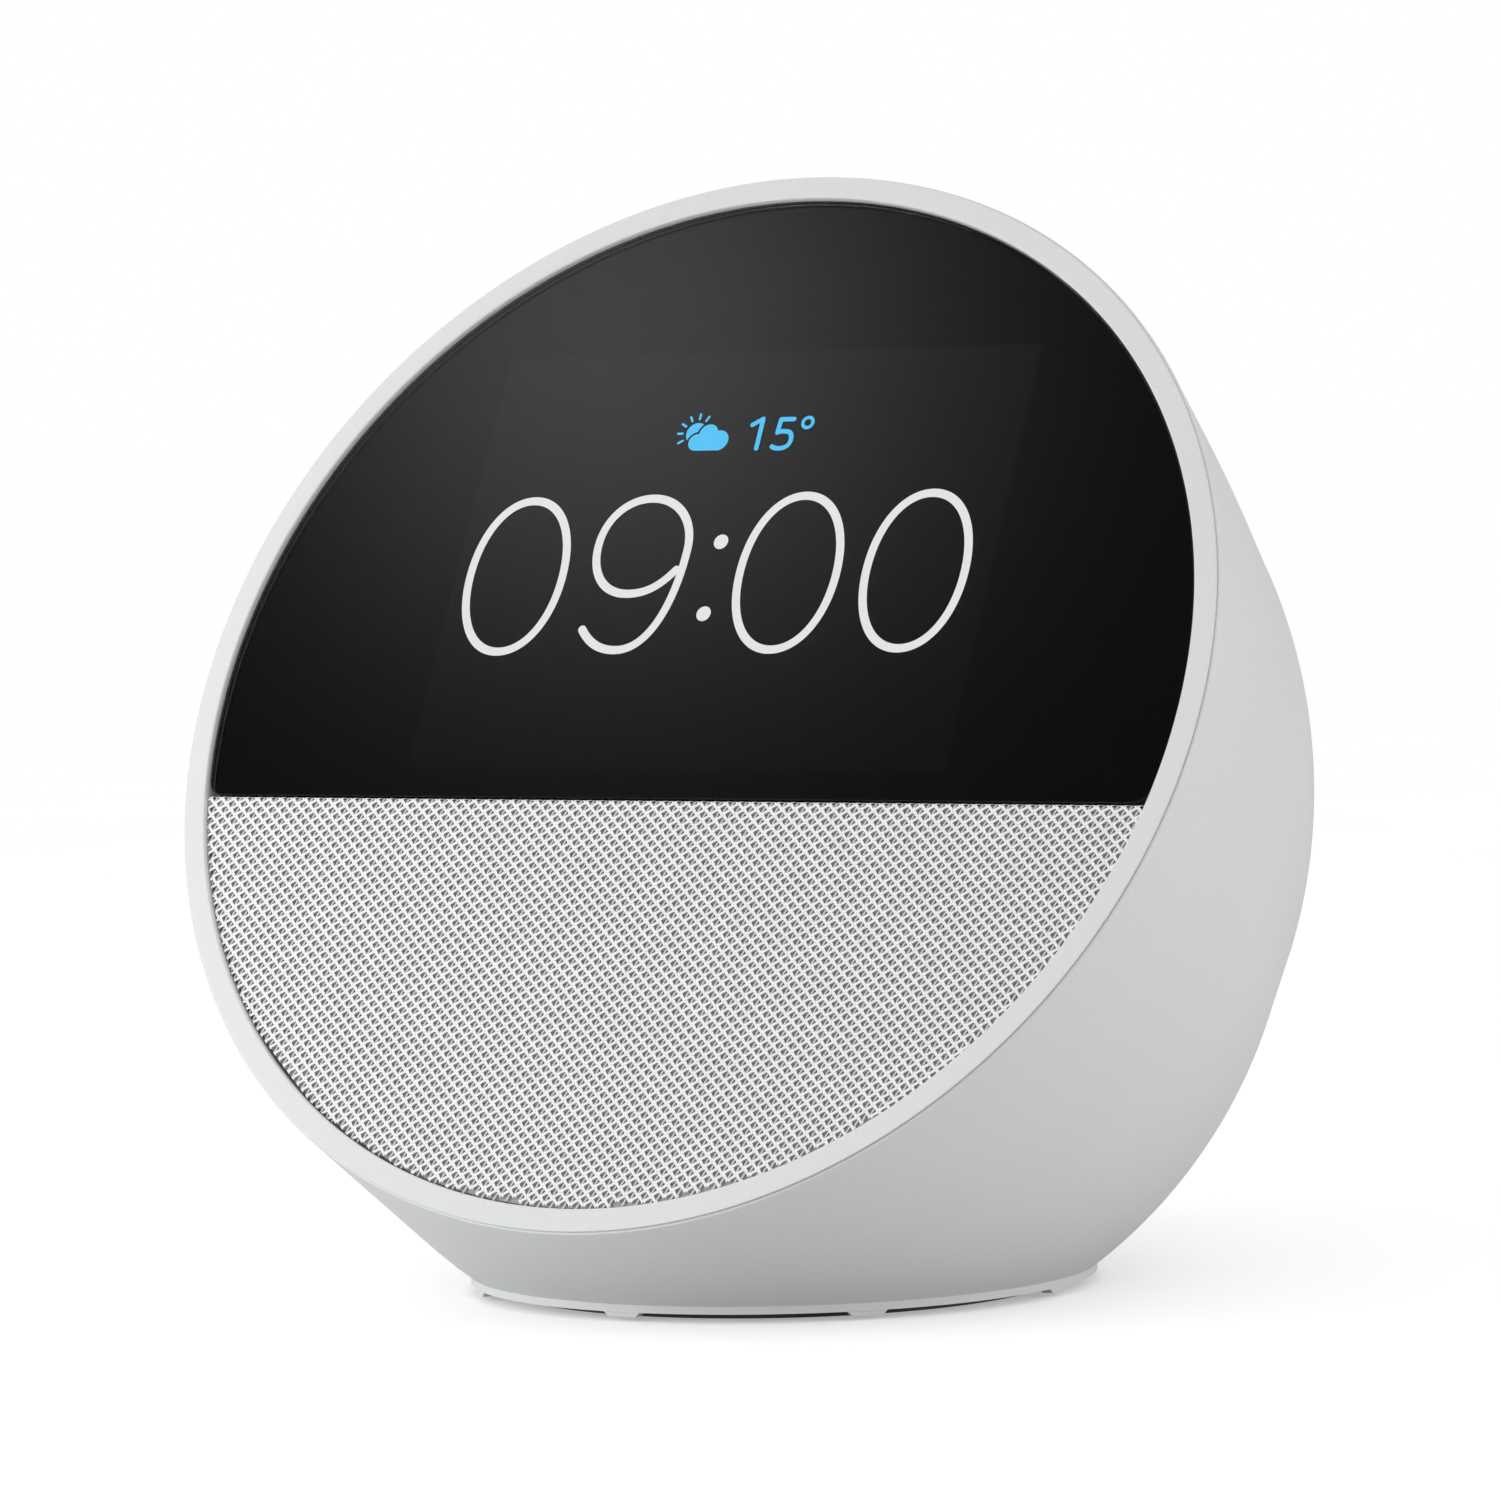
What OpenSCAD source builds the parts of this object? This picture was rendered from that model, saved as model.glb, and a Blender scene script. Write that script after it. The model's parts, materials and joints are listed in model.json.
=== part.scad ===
// Round smart clock speaker: a tilted circular face, display above and cloth grille below,
// in a ball-shaped housing on a flat round base.
// Frame: millimetres, +Z up, the face looks towards -Y. The origin lies on the surface that the
// speaker stands on, under the middle of its bounding box.
// "Face" coordinates: x to the right, v up along the tilted face, w out of the face.

/* [Face] */
// Outside radius of the shell's rim, half of the overall width
ring_r = 56.5; // [50:0.5:70]
// Radius of the opening inside the bezel
opening_r = 53.9; // [48:0.1:54.5]
// Backwards tilt of the face from vertical, degrees
face_tilt = 28; // [15:1:40]
// Height of the display's lower edge above the face centre, negative is below
split_v = -11.7; // [-20:0.1:-5]
// Radius of the corners where the display and the grille meet the bezel
corner_r = 1.6; // [0.8:0.1:3]
// How far the glass and the cloth lie below the bezel's front
recess = 0.4; // [0.2:0.1:1]
// Radius of the bezel's outer front edge
edge_r = 0.15; // [0.1:0.05:0.5]

/* [Housing] */
// Radius of the ball that makes the back
ball_r = 51.6; // [48:0.2:60]
// Distance of the ball's centre behind the face
ball_depth = 24; // [18:0.5:30]
// Distance of the belly's centre behind the face
belly_depth = 22.5; // [18:0.5:28]
// How far the belly's centre lies below the ball's, along the face
belly_drop = 7; // [4:0.5:10]
// Wall thickness of the moulded shell
wall = 2.2; // [1.6:0.1:3]

/* [Base] */
// Radius of the upright band round the base
base_r = 31; // [28:0.5:38]
// Height of that band
band_h = 0.75; // [0.5:0.05:1.5]
// Gap between the band and the table
foot_gap = 0.9; // [0.6:0.1:2]
// Number of small tabs that bridge the gap
tab_count = 8; // [4:1:12]

/* [Display] */
// Width of the lit area
lit_w = 60.6; // [50:0.2:62]
// Height of the lit area
lit_h = 45.5; // [38:0.5:47]
// Dark border of the panel round the lit area
panel_border = 1.5; // [1:0.1:2]
// Height of the lit area's centre above the face centre
lit_v = 14.5; // [13:0.1:15.5]
// Thickness of the cover glass
glass_t = 1.1; // [0.7:0.1:1.5]
// Thickness of the liquid crystal panel
panel_t = 1.4; // [1:0.1:2]
// Thickness of the backlight tray
backlight_t = 2.5; // [2:0.1:3]

/* [Speaker] */
// Outside radius of the driver's frame
driver_r = 21.2; // [19:0.1:21.5]
// Radius of the moving cone
cone_r = 14; // [11:0.2:15]
// Depth of the driver behind its flange
driver_depth = 19.5; // [16:0.5:20]
// Radius of the driver's magnet
magnet_r = 13; // [11:0.5:13.5]
// Travel of the cone each way from rest
cone_travel = 1.2; // [0.5:0.1:1.5]

/* [Keys] */
// Lean of the key row from the top towards the back, degrees
key_lean = 38; // [34:1:50]
// Distance between neighbouring keys
key_pitch = 13.5; // [12.5:0.5:15]
// Radius of a key cap
key_r = 4.3; // [3:0.1:4.6]
// How far a key cap stands proud of the shell
key_proud = 0.2; // [0.1:0.05:0.6]
// Travel of a key when it is pressed
key_travel = 0.4; // [0.2:0.05:0.5]

/* [Power] */
// Height of the power socket's axis
jack_z = 13; // [12.5:0.5:18]
// Radius of the recess that takes the plug's body
plug_r = 5; // [4.5:0.1:5.5]
// Radius of the socket's hole
socket_r = 2.05; // [1.5:0.05:2.8]
// Depth of the socket's hole
socket_depth = 9; // [7:0.5:10]

/* [Fits] */
// Clearance between fixed pieces that seat on one another
seat = 0.15; // [0.1:0.05:0.25]
// Running clearance round a key cap
key_clear = 0.2; // [0.1:0.05:0.3]
// Clearance of the voice coil in the magnet's gap
coil_clear = 0.3; // [0.2:0.05:0.4]

/* [Hidden] */
$fn = 72;

WHITE = [0.88, 0.89, 0.88];
GREY = [0.62, 0.64, 0.64];
DARK = [0.2, 0.2, 0.21];
BLACK = [0.05, 0.05, 0.055];
STEEL = [0.7, 0.71, 0.73];
BOARD = [0.06, 0.24, 0.16];
COPPER = [0.75, 0.45, 0.25];

// The belly stands on the base band, and the face and the ball are placed from it
belly_z = foot_gap + band_h + sqrt(ball_r*ball_r - base_r*base_r);
face_z = belly_z + belly_depth*sin(face_tilt) + belly_drop*cos(face_tilt);
lip_w = -0.14;
front_reach = ring_r*sin(face_tilt) + lip_w*cos(face_tilt);
back_reach = ball_depth*cos(face_tilt) + ball_r;
face_y = (front_reach - back_reach)/2;
belly_y = face_y + belly_depth*cos(face_tilt) - belly_drop*sin(face_tilt);
ball_y = face_y + ball_depth*cos(face_tilt);
ball_z = face_z - ball_depth*sin(face_tilt);

// The collar is a cone from the shell's rim that touches the ball
seam_w = -0.5;
rim_w = seam_w - 0.2;
// The bezel is let into the rim, which stands round it as a thin lip
bezel_out = ring_r - 0.3;
rim_in = bezel_out + 0.12;
collar_angle = touch_angle(ring_r, ball_depth + lip_w);
// The belly has a collar of its own, tucked a hair inside the shell's rim
rim_tuck = 0.1;
belly_angle = touch_angle(ring_r - belly_drop - rim_tuck, belly_depth + lip_w);
function touch_angle(rim, depth) = atan2(depth, rim) - acos(ball_r/norm([rim, depth]));

// Screws, all of one size: hole in plastic, shank, clearance hole and head
pilot_r = 0.8;
shank_r = 0.75;
pass_r = 1.1;
head_r = 1.7;
head_h = 1.1;
post_r = 2.2;

// Bezel section
bezel_r = ring_r - 1.5;
fit_r = opening_r - 0.3;
ledge_w = -recess - glass_t - 0.4;
ledge_t = 1;
ledge_r = opening_r - 3.1;
skirt_r = min(ledge_r + 1.6, ring_r - wall - 1.9);
skirt_w = ledge_w - 4.6;
bar_low = 3.2;
bar_high = 1.6;
baffle_w = ledge_w - 2.6;
baffle_t = 1.2;
hook_count = 6;
hook_t = 1;
catch_r = skirt_r + 0.25;
hook_w = skirt_w + 0.2;
catch_w = hook_w + hook_t + 0.2;

// Display stack, each piece just behind the one before
stack_gap = 0.05;
panel_w = -recess - glass_t - stack_gap;
tray_w = panel_w - panel_t - stack_gap;
bracket_w = tray_w - backlight_t - 2*stack_gap;
bracket_t = 1.5;
bracket_r = ledge_r - 0.4;
panel_size = [lit_w + 2*panel_border, lit_h + 2*panel_border];
bracket_bosses = [[-43, 1], [43, 1], [-41, 21], [41, 21]];

// Main board
stand_h = 3.4;
board_w = bracket_w - bracket_t - stand_h - stack_gap;
board_t = 1.2;
board_v = 15;
board_size = [66, 40];
board_back = board_w - board_t;
board_bosses = [for (x = [-1, 1], v = [-1, 1]) [x*29.5, board_v + v*16.5]];
flex_x = -16;
power_x = 20;

// Grille
cloth_t = 0.5;
carrier_w = -recess - cloth_t - stack_gap;
carrier_t = carrier_w - ledge_w - stack_gap;
hole_pitch = 4;
hole_r = 1.6;

// Speaker, on an axis parallel to the face's
driver_v = -30.5;
port_r = driver_r - 2.8;
flange_w = baffle_w - baffle_t - 1.9;
flange_t = 1.2;
roll_out = driver_r - 3.1;
chamber_wall = 1.5;
chamber_r = driver_r + 1.3;
chamber_back_r = magnet_r + 1 + chamber_wall;
driver_back = flange_w - driver_depth;
yoke_t = 1.8;
magnet_t = 4.5;
plate_top_t = 2;
magnet_w = driver_back + yoke_t;
top_plate_w = magnet_w + magnet_t;
basket_w = top_plate_w + plate_top_t;
pole_r = 5.9;
coil_t = 0.5;
coil_in = pole_r + coil_clear;
coil_out = coil_in + coil_t;
neck_w = basket_w + 2.9;
sheet_t = 0.8;
paper_t = 0.4;
roll_t = 0.35;
roll_w = flange_w - flange_t + sheet_t + stack_gap;
cone_edge_w = roll_w - stack_gap - paper_t;
ear_w = flange_w - flange_t - 0.2;
ear_t = 1.2;
ear_r = 2.6;
chamber_ears = [[-21.3, -16.2], [21.3, -16.2], [-20.4, -46.2], [20.4, -46.2]];
wire_r = 0.5;
wire_x = 1.3;
wire_w = board_back - 1.5;

// Keys, along the axis of the key row from the ball's centre
collar_end = ball_r - 7;
collar_wall = 1;
key_seat = 0.2;
flange_h = 1.1;
flange_r = key_r + 0.9;
plunger_r = 1;
stem_r = 1.2;
flange_low = collar_end - key_seat - flange_h;
switch_top = flange_low - 2.3;
switch_h = 2.2;
switch_w = 4.6;
plunger_top = switch_top + 0.8;
plunger_low = switch_top - 1.1;
key_board_z = switch_top - switch_h;
key_board_t = 1;
key_board_l = 49;
key_board_b = 9;
key_post_x = 21.6;
mic_x = key_pitch/2;
mic_hole_r = 0.5;
mic_h = 1;
boot_r = 0.95;

// Power socket, straight out of the back
plug_seat = 3.6;
jack_y = belly_y + sqrt(pow(ball_r, 2) - pow(belly_z - jack_z + plug_r, 2)) - plug_seat;
shroud_wall = 1.5;
shroud_floor = 2;
nose_r = socket_r + 1.15;
jack_size = [9, 11, 8];
pin_r = 0.8;

// Base
plate_r = base_r - 2.6;
plate_z = foot_gap + 0.3;
plate_t = 1.6;
floor_z = plate_z + plate_t + seat;
floor_t = 1.8;
floor_hole_r = 12;
base_screw_at = 18;
foot_out = plate_r - 1.4;
foot_in = foot_out - 3.6;
foot_groove = 0.4;
tab_w = 4.2;
tab_t = 1.2;
tab_slope = 0.7;
tab_lift = 0.12;

module on_face(x = 0, v = 0, w = 0)
    translate([0, face_y, face_z]) rotate([90 - face_tilt, 0, 0]) translate([x, v, w]) children();

module on_driver(w = 0) on_face(0, driver_v, w) children();

module on_base(z = 0) translate([0, belly_y, z]) children();

module on_keys(z = 0, x = 0)
    translate([0, ball_y, ball_z]) rotate([-key_lean, 0, 0]) translate([x, 0, z]) children();

// Along the socket's axis, from the recess's floor outwards
module on_jack(y = 0) translate([0, jack_y + y, jack_z]) rotate([-90, 0, 0]) children();

module at_base_screws() on_base() for (a = [45 : 90 : 315])
    rotate(a) translate([base_screw_at, 0, 0]) children();

// A tube from z = 0 up
module tube(outer, inner, h) difference() {
    cylinder(r = outer, h = h);
    translate([0, 0, -1]) cylinder(r = inner, h = h + 2);
}

// A block centred in x and y, from z = 0 up
module block(size) translate([-size[0]/2, -size[1]/2, 0]) cube(size);

// A screw whose head's underside lies at z = 0, with its shank up
module screw(length) {
    difference() {
        translate([0, 0, -head_h]) cylinder(r = head_r, h = head_h);
        translate([0, 0, -head_h - 1]) cylinder(r = 0.8, h = 1.6, $fn = 6);
    }
    cylinder(r = shank_r, h = length);
}

// The part of a disc above the line y = low, with round corners
module segment_2d(r, low, corner) {
    c = low + corner;
    xc = sqrt(pow(r - corner, 2) - c*c);
    bite = 0.02;
    intersection() {
        circle(r);
        translate([-2*r, low]) square([4*r, 3*r]);
        union() {
            polygon([[xc, low - 1], [xc, c], [2*xc, 2*c], [2*xc, 3*r], [-2*xc, 3*r], [-2*xc, 2*c],
                [-xc, c], [-xc, low - 1]]);
            for (s = [-1, 1]) translate([s*xc, c]) circle(corner + bite);
        }
    }
}

// The two openings in the bezel, each drawn in by inset
module display_2d(inset, corner) segment_2d(fit_r - inset, split_v + 0.1 + inset, corner);

module grille_2d(inset, corner)
    mirror([0, 1]) segment_2d(fit_r - inset, 0.1 - split_v + inset, corner);

// Half section of a ball at the given depth, with its collar, to be revolved.
// The collar's line bites a hair into the ball, so that the two always cross.
module ball_profile(inset, top_w, depth, angle) {
    r = ball_r - inset;
    bite = 0.02;
    touch = [(r - bite)*cos(angle), (r - bite)*sin(angle) - depth];
    rim = touch[0] + (top_w - touch[1])*tan(-angle);
    difference() {
        union() {
            translate([0, -depth]) circle(r);
            polygon([[-10, -depth], [0, -depth - 20], [touch[0] - 10, -depth - 20],
                touch, [rim, top_w], [-10, top_w]]);
        }
        translate([-200, -200]) square([200, 400]);
        translate([-200, top_w]) square([400, 400]);
    }
}

// The body drawn in from its outside by inset, up to top_w in front of the face
module body_skin(inset, top_w) {
    on_face() rotate_extrude() ball_profile(inset, top_w, ball_depth, collar_angle);
    on_face(0, -belly_drop) rotate_extrude() ball_profile(inset, top_w, belly_depth, belly_angle);
}

// A trapezoid tab under the band, wide at the top
module foot_tab() translate([base_r - tab_t, 0, 0]) rotate([90, 0, 90]) linear_extrude(tab_t)
    polygon([[-tab_w/2, foot_gap + 0.1], [-tab_w/2, foot_gap], [tab_slope - tab_w/2, tab_lift],
        [tab_w/2 - tab_slope, tab_lift], [tab_w/2, foot_gap], [tab_w/2, foot_gap + 0.1]]);

module rear_housing() color(WHITE) {
    difference() {
        intersection() {
            union() {
                body_skin(0, lip_w);
                on_base() cylinder(r = base_r, h = foot_gap + band_h);
            }
            translate([-100, -100, foot_gap]) cube([200, 200, 200]);
        }
        // the hollow, down to the floor, less the posts and collars that stand in it
        difference() {
            body_skin(wall, 3);
            on_base(-50) cylinder(r = 60, h = 50 + floor_z + floor_t);
            for (x = [-key_pitch, 0, key_pitch])
                on_keys(collar_end, x) cylinder(r = key_r + key_clear + collar_wall, h = 12);
            for (s = [-1, 1])
                on_keys(key_board_z + stack_gap, s*key_post_x) cylinder(r = post_r, h = 20);
            on_jack(-shroud_floor) cylinder(r = plug_r + shroud_wall, h = 30);
            at_base_screws() cylinder(r = 2.6, h = floor_z + 5);
        }
        // the step that the bezel drops into
        on_face(w = ledge_w - ledge_t - 0.1) cylinder(r = bezel_r + seat, h = 20);
        on_face(w = rim_w) cylinder(r = rim_in, h = 20);
        for (x = [-key_pitch, 0, key_pitch])
            on_keys(collar_end - 1, x) cylinder(r = key_r + key_clear, h = 30);
        for (s = [-1, 1]) {
            on_keys(key_board_z, s*mic_x) cylinder(r = mic_hole_r, h = 30);
            on_keys(key_board_z - 1, s*key_post_x) cylinder(r = pilot_r, h = 5);
        }
        // the plug's recess, and the hole that the socket's nose fills
        on_jack() cylinder(r = plug_r, h = 40);
        on_jack(-shroud_floor - 1) cylinder(r = nose_r + seat, h = 10);
        on_base(-1) cylinder(r = plate_r + seat, h = 1 + floor_z);
        on_base(-1) cylinder(r = floor_hole_r, h = 20);
        at_base_screws() cylinder(r = pilot_r, h = floor_z + 4);
    }
    // the bead that the bezel's hooks catch
    on_face(w = catch_w) tube(catch_r + 1.5, catch_r, 1);
    on_base() for (i = [0 : tab_count - 1]) rotate(270 + i*360/tab_count) foot_tab();
}

module bezel_section() difference() {
    union() {
        translate([opening_r, ledge_w - ledge_t]) square([bezel_r - opening_r, ledge_t - ledge_w]);
        translate([ledge_r, ledge_w - ledge_t]) square([bezel_r - ledge_r, ledge_t]);
        translate([ledge_r, skirt_w]) square([skirt_r - ledge_r, ledge_w - skirt_w]);
        translate([opening_r, seam_w]) square([bezel_out - opening_r - edge_r, -seam_w]);
        translate([opening_r, seam_w]) square([bezel_out - opening_r, -seam_w - edge_r]);
        translate([bezel_out - edge_r, -edge_r]) circle(edge_r);
    }
    // a fine bevel round the opening
    polygon([[opening_r - 1, 1], [opening_r + 1.2, 1], [opening_r - 1, -1.2]]);
}

// A post on the bezel at p, tied to the skirt by a rib, from w = low up to w = high
module bezel_post(p, low, high) {
    translate([p[0], p[1], low]) cylinder(r = post_r, h = high - low);
    rotate(atan2(p[1], p[0])) translate([norm(p) + 1.4, -1, low])
        cube([ledge_r + 0.5 - norm(p) - 1.4, 2, high - low]);
}

module front_bezel() color(WHITE) on_face() {
    difference() {
        union() {
            rotate_extrude() bezel_section();
            // the bar between the display and the grille
            intersection() {
                translate([0, 0, -30]) cylinder(r = ledge_r + 0.5, h = 30);
                translate([-60, split_v - bar_low, baffle_w - 0.1])
                    cube([120, bar_low + bar_high, ledge_w - baffle_w + 0.1]);
            }
            // the baffle that the speaker fires through
            translate([0, 0, baffle_w - baffle_t]) linear_extrude(baffle_t) intersection() {
                circle(ledge_r + 0.5);
                translate([-60, -60]) square([120, 60 + split_v]);
            }
            for (p = bracket_bosses) bezel_post(p, bracket_w + stack_gap, ledge_w - 0.4);
            for (p = chamber_ears) translate([p[0], p[1], ear_w + stack_gap])
                cylinder(r = post_r, h = baffle_w - ear_w - 0.5);
        }
        translate([0, driver_v, -30]) cylinder(r = port_r, h = 30 + baffle_w);
        translate([0, driver_v, -30]) intersection() {
            cylinder(r = port_r, h = 40);
            translate([-50, -50, 0]) cube([100, 50 - driver_v + split_v - bar_low, 40]);
        }
        for (p = bracket_bosses) translate([p[0], p[1], bracket_w - 1]) cylinder(r = pilot_r, h = 3.6);
        for (p = chamber_ears) translate([p[0], p[1], ear_w - 1]) cylinder(r = pilot_r, h = 4.4);
    }
    for (i = [0 : hook_count - 1]) rotate(30 + i*360/hook_count) translate([0, 0, hook_w])
        intersection() {
            tube(skirt_r + 0.6, skirt_r - 0.5, hook_t);
            translate([ledge_r - 5, -3.6, -1]) cube([20, 7.2, hook_t + 2]);
        }
}

module display_glass() color(BLACK)
    on_face(w = -recess - glass_t) linear_extrude(glass_t) display_2d(0, corner_r);

module glass_tape() color(DARK)
    on_face(w = ledge_w + stack_gap) linear_extrude(-recess - glass_t - ledge_w - 2*stack_gap)
        difference() {
            display_2d(0.2, corner_r);
            display_2d(1.4, corner_r);
        }

module lcd_panel() color(DARK) on_face(0, lit_v, panel_w - panel_t) {
    block([panel_size[0], panel_size[1], panel_t - 0.3]);
    block([lit_w + 1, lit_h + 1, panel_t]);
}

module lcd_backlight() color(STEEL) on_face(0, lit_v, tray_w - backlight_t) difference() {
    block([panel_size[0], panel_size[1], backlight_t]);
    translate([0, 0, -1]) block([panel_size[0] - 8, panel_size[1] - 8, 1.4]);
}

module display_bracket() color(DARK) on_face(w = bracket_w - bracket_t) {
    low = lit_v - panel_size[1]/2 + 0.2;
    difference() {
        linear_extrude(bracket_t) difference() {
            segment_2d(bracket_r, low, 3);
            for (s = [-1, 1]) translate([s*12 - 8, lit_v - 6]) square([16, 18]);
            translate([flex_x - 8, low - 1]) square([16, 6]);
        }
        for (p = bracket_bosses) translate([p[0], p[1], -1]) cylinder(r = pass_r, h = 5);
    }
    translate([0, 0, -2]) linear_extrude(2.1) difference() {
        segment_2d(bracket_r, low + 5, 3);
        segment_2d(bracket_r - 1.4, low + 6.4, 2);
    }
    for (p = board_bosses) translate([p[0], p[1], -stand_h]) tube(post_r, pilot_r, stand_h + 0.2);
}

module bracket_screws() color(STEEL) for (p = bracket_bosses)
    on_face(p[0], p[1], bracket_w - bracket_t) screw(3.6);

module grille_cloth() color(GREY)
    on_face(w = -recess - cloth_t) linear_extrude(cloth_t) grille_2d(0, corner_r);

// Moulded grid behind the cloth, open over the speaker
module grille_frame() color(WHITE) on_face(w = carrier_w - carrier_t) linear_extrude(carrier_t)
    difference() {
        grille_2d(0.4, corner_r);
        rows = floor(port_r/(hole_pitch*sin(60)));
        for (j = [-rows : rows]) {
            v = driver_v + j*hole_pitch*sin(60);
            half = sqrt(max(0, pow(port_r - hole_r, 2) - pow(v - driver_v, 2)));
            shift = (abs(j) % 2)*hole_pitch/2;
            for (i = [-6 : 6]) if (abs(i*hole_pitch + shift) <= half && v < split_v - bar_low - hole_r)
                translate([i*hole_pitch + shift, v]) rotate(30) circle(hole_r, $fn = 6);
        }
    }

module speaker_gasket() color(DARK) on_driver(flange_w + stack_gap)
    tube(driver_r - 1.2, port_r, baffle_w - baffle_t - flange_w - 2*stack_gap);

module speaker_basket() color(STEEL) on_driver() {
    seat_w = flange_w - flange_t;
    difference() {
        rotate_extrude() polygon([[coil_out + 1.3, basket_w], [magnet_r, basket_w],
            [roll_out + 0.7, seat_w], [driver_r, seat_w], [driver_r, seat_w + flange_t],
            [driver_r - 1.4, seat_w + flange_t], [driver_r - 1.4, seat_w + sheet_t],
            [roll_out - 0.2, seat_w + sheet_t], [magnet_r - 0.8, basket_w + sheet_t],
            [coil_out + 1.3, basket_w + sheet_t]]);
        // windows between the four legs
        for (a = [45 : 90 : 315]) rotate(a) translate([6, -5.5, basket_w + 2.2])
            cube([20, 11, seat_w - basket_w - 3.4]);
    }
}

// Half-roll edge that lets the cone move
module speaker_surround() color(BLACK) on_driver(roll_w) rotate_extrude() {
    mid = (cone_r + roll_out - 0.6)/2;
    roll = (roll_out - 0.6 - cone_r)/2;
    intersection() {
        difference() {
            translate([mid, 0]) circle(roll);
            translate([mid, 0]) circle(roll - roll_t);
        }
        translate([cone_r - 1, 0]) square([20, 20]);
    }
    translate([cone_r - 0.8, 0]) square([0.8 + roll_t, roll_t]);
    translate([roll_out - 0.6 - roll_t, 0]) square([driver_r - 1.5 - roll_out + 0.6 + roll_t, roll_t]);
}

// Corrugated ring that centres the coil
module speaker_spider() color([0.8, 0.65, 0.35]) on_driver(basket_w + 1.7) rotate_extrude() {
    n = 4;
    from = coil_out + 0.05;
    // as far out as the basket's wall leaves room
    to = magnet_r - 0.8 + min(0.3, (roll_out - magnet_r)/10);
    step = (to - from)/(2*n);
    top = [for (i = [0 : 2*n]) [from + i*step, (i % 2)*0.5 + 0.25]];
    low = [for (i = [2*n : -1 : 0]) [from + i*step, (i % 2)*0.5]];
    polygon(concat(top, low));
}

module speaker_cone() color(DARK) on_driver() rotate_extrude()
    polygon([[coil_out + 0.05, neck_w], [coil_out + 0.7, neck_w], [cone_r, cone_edge_w],
        [cone_r, cone_edge_w + paper_t], [cone_r - 0.5, cone_edge_w + paper_t],
        [coil_out + 0.05, neck_w + 0.6]]);

module dust_cap() color(BLACK) on_driver(neck_w + 1.8) rotate_extrude() {
    drop = 6;
    r = norm([coil_out + 0.9, drop]);
    intersection() {
        difference() {
            translate([0, -drop]) circle(r);
            translate([0, -drop]) circle(r - paper_t);
        }
        square([coil_out + 1, 10]);
    }
}

module voice_coil() color(COPPER) on_driver(basket_w - 4.2)
    tube(coil_out, coil_in, neck_w + 0.5 - basket_w + 4.2);

module magnet_top_plate() color(STEEL) on_driver(top_plate_w)
    tube(magnet_r, coil_out + coil_clear, plate_top_t);

module speaker_magnet() color(BLACK) on_driver(magnet_w) tube(magnet_r, coil_out + 2.2, magnet_t);

module magnet_yoke() color(STEEL) on_driver(driver_back) {
    cylinder(r = magnet_r - 0.6, h = yoke_t);
    cylinder(r = pole_r, h = basket_w - driver_back - 0.1);
}

module speaker_terminals() color(COPPER)
    on_driver(flange_w - flange_t - 1.4) translate([-3, roll_out + 0.8, 0]) cube([6, 0.7, 1.4]);

// Sealed cup behind the driver, with four screw ears
module speaker_chamber() color(DARK) on_driver() {
    front = flange_w - 0.2;
    seat_w = flange_w - flange_t - stack_gap;
    back = driver_back - 0.4 - chamber_wall;
    bend = ear_w - ear_t;
    difference() {
        union() {
            rotate_extrude() polygon([[0, back], [chamber_back_r, back], [chamber_r, bend],
                [chamber_r, front], [0, front]]);
            for (p = chamber_ears) translate([p[0], p[1] - driver_v, bend]) {
                cylinder(r = ear_r, h = ear_t);
                rotate(atan2(driver_v - p[1], -p[0])) translate([0, -ear_r, 0])
                    cube([norm([p[0], p[1] - driver_v]) - chamber_r + 1.5, 2*ear_r, ear_t]);
            }
        }
        rotate_extrude() {
            polygon([[0, back + chamber_wall], [chamber_back_r - chamber_wall, back + chamber_wall],
                [chamber_r - chamber_wall - 1, bend + 0.3], [chamber_r - chamber_wall - 1, front + 1],
                [0, front + 1]]);
            translate([0, seat_w]) square([driver_r + seat, 10]);
        }
        for (p = chamber_ears) translate([p[0], p[1] - driver_v, bend - 1]) cylinder(r = pass_r, h = 4);
        // slot for the wires
        translate([-2.5, 8, wire_w - 0.8]) cube([5, 20, bend + 0.35 - wire_w + 0.8]);
    }
}

module speaker_screws() color(STEEL) for (p = chamber_ears)
    on_face(p[0], p[1], ear_w - ear_t) screw(4.2);

module main_board() color(BOARD) on_face(0, 0, board_back) linear_extrude(board_t) difference() {
    translate([-board_size[0]/2, board_v - board_size[1]/2]) square(board_size);
    for (p = board_bosses) translate(p) circle(pass_r);
}

module processor_shield() color(STEEL) on_face(-8, 16, board_back - 2.2) difference() {
    block([24, 22, 2.2]);
    translate([0, 0, 0.2]) block([23.6, 21.6, 3]);
}

// Chips, coils and connectors on the back of the board: [x, v, width, height, depth]
PARTS = [[-8, 16, 14, 14, 1.3], [14, 22, 11.5, 13, 1], [16, 5, 6, 6, 0.9], [9, 1.5, 4, 4, 0.8],
    [21, 12, 4, 4, 1.6], [21, 6, 4, 4, 1.6], [flex_x, -3.2, 14, 3.4, 1.4], [0, -3, 5, 3.6, 2.6],
    [power_x, -3, 6, 3.6, 2.6], [0, 33, 8, 3, 1.3]];

module board_parts() color(BLACK) for (p = PARTS)
    on_face(p[0], p[1], board_back - p[4]) block([p[2], p[3], p[4]]);

module heat_spreader() color(STEEL) on_face(0, 17, board_back - 3.6) {
    block([52, 26, 1.2]);
    for (s = [-1, 1]) translate([s*24.75, 0, 0]) block([2.5, 10, 3.6 - stack_gap]);
}

module board_screws() color(STEEL) for (p = board_bosses) on_face(p[0], p[1], board_back) screw(4);

module wifi_antenna() color(BOARD)
    on_face(0, 43, bracket_w - bracket_t - 0.6 - stack_gap) block([24, 5, 0.6]);

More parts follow.
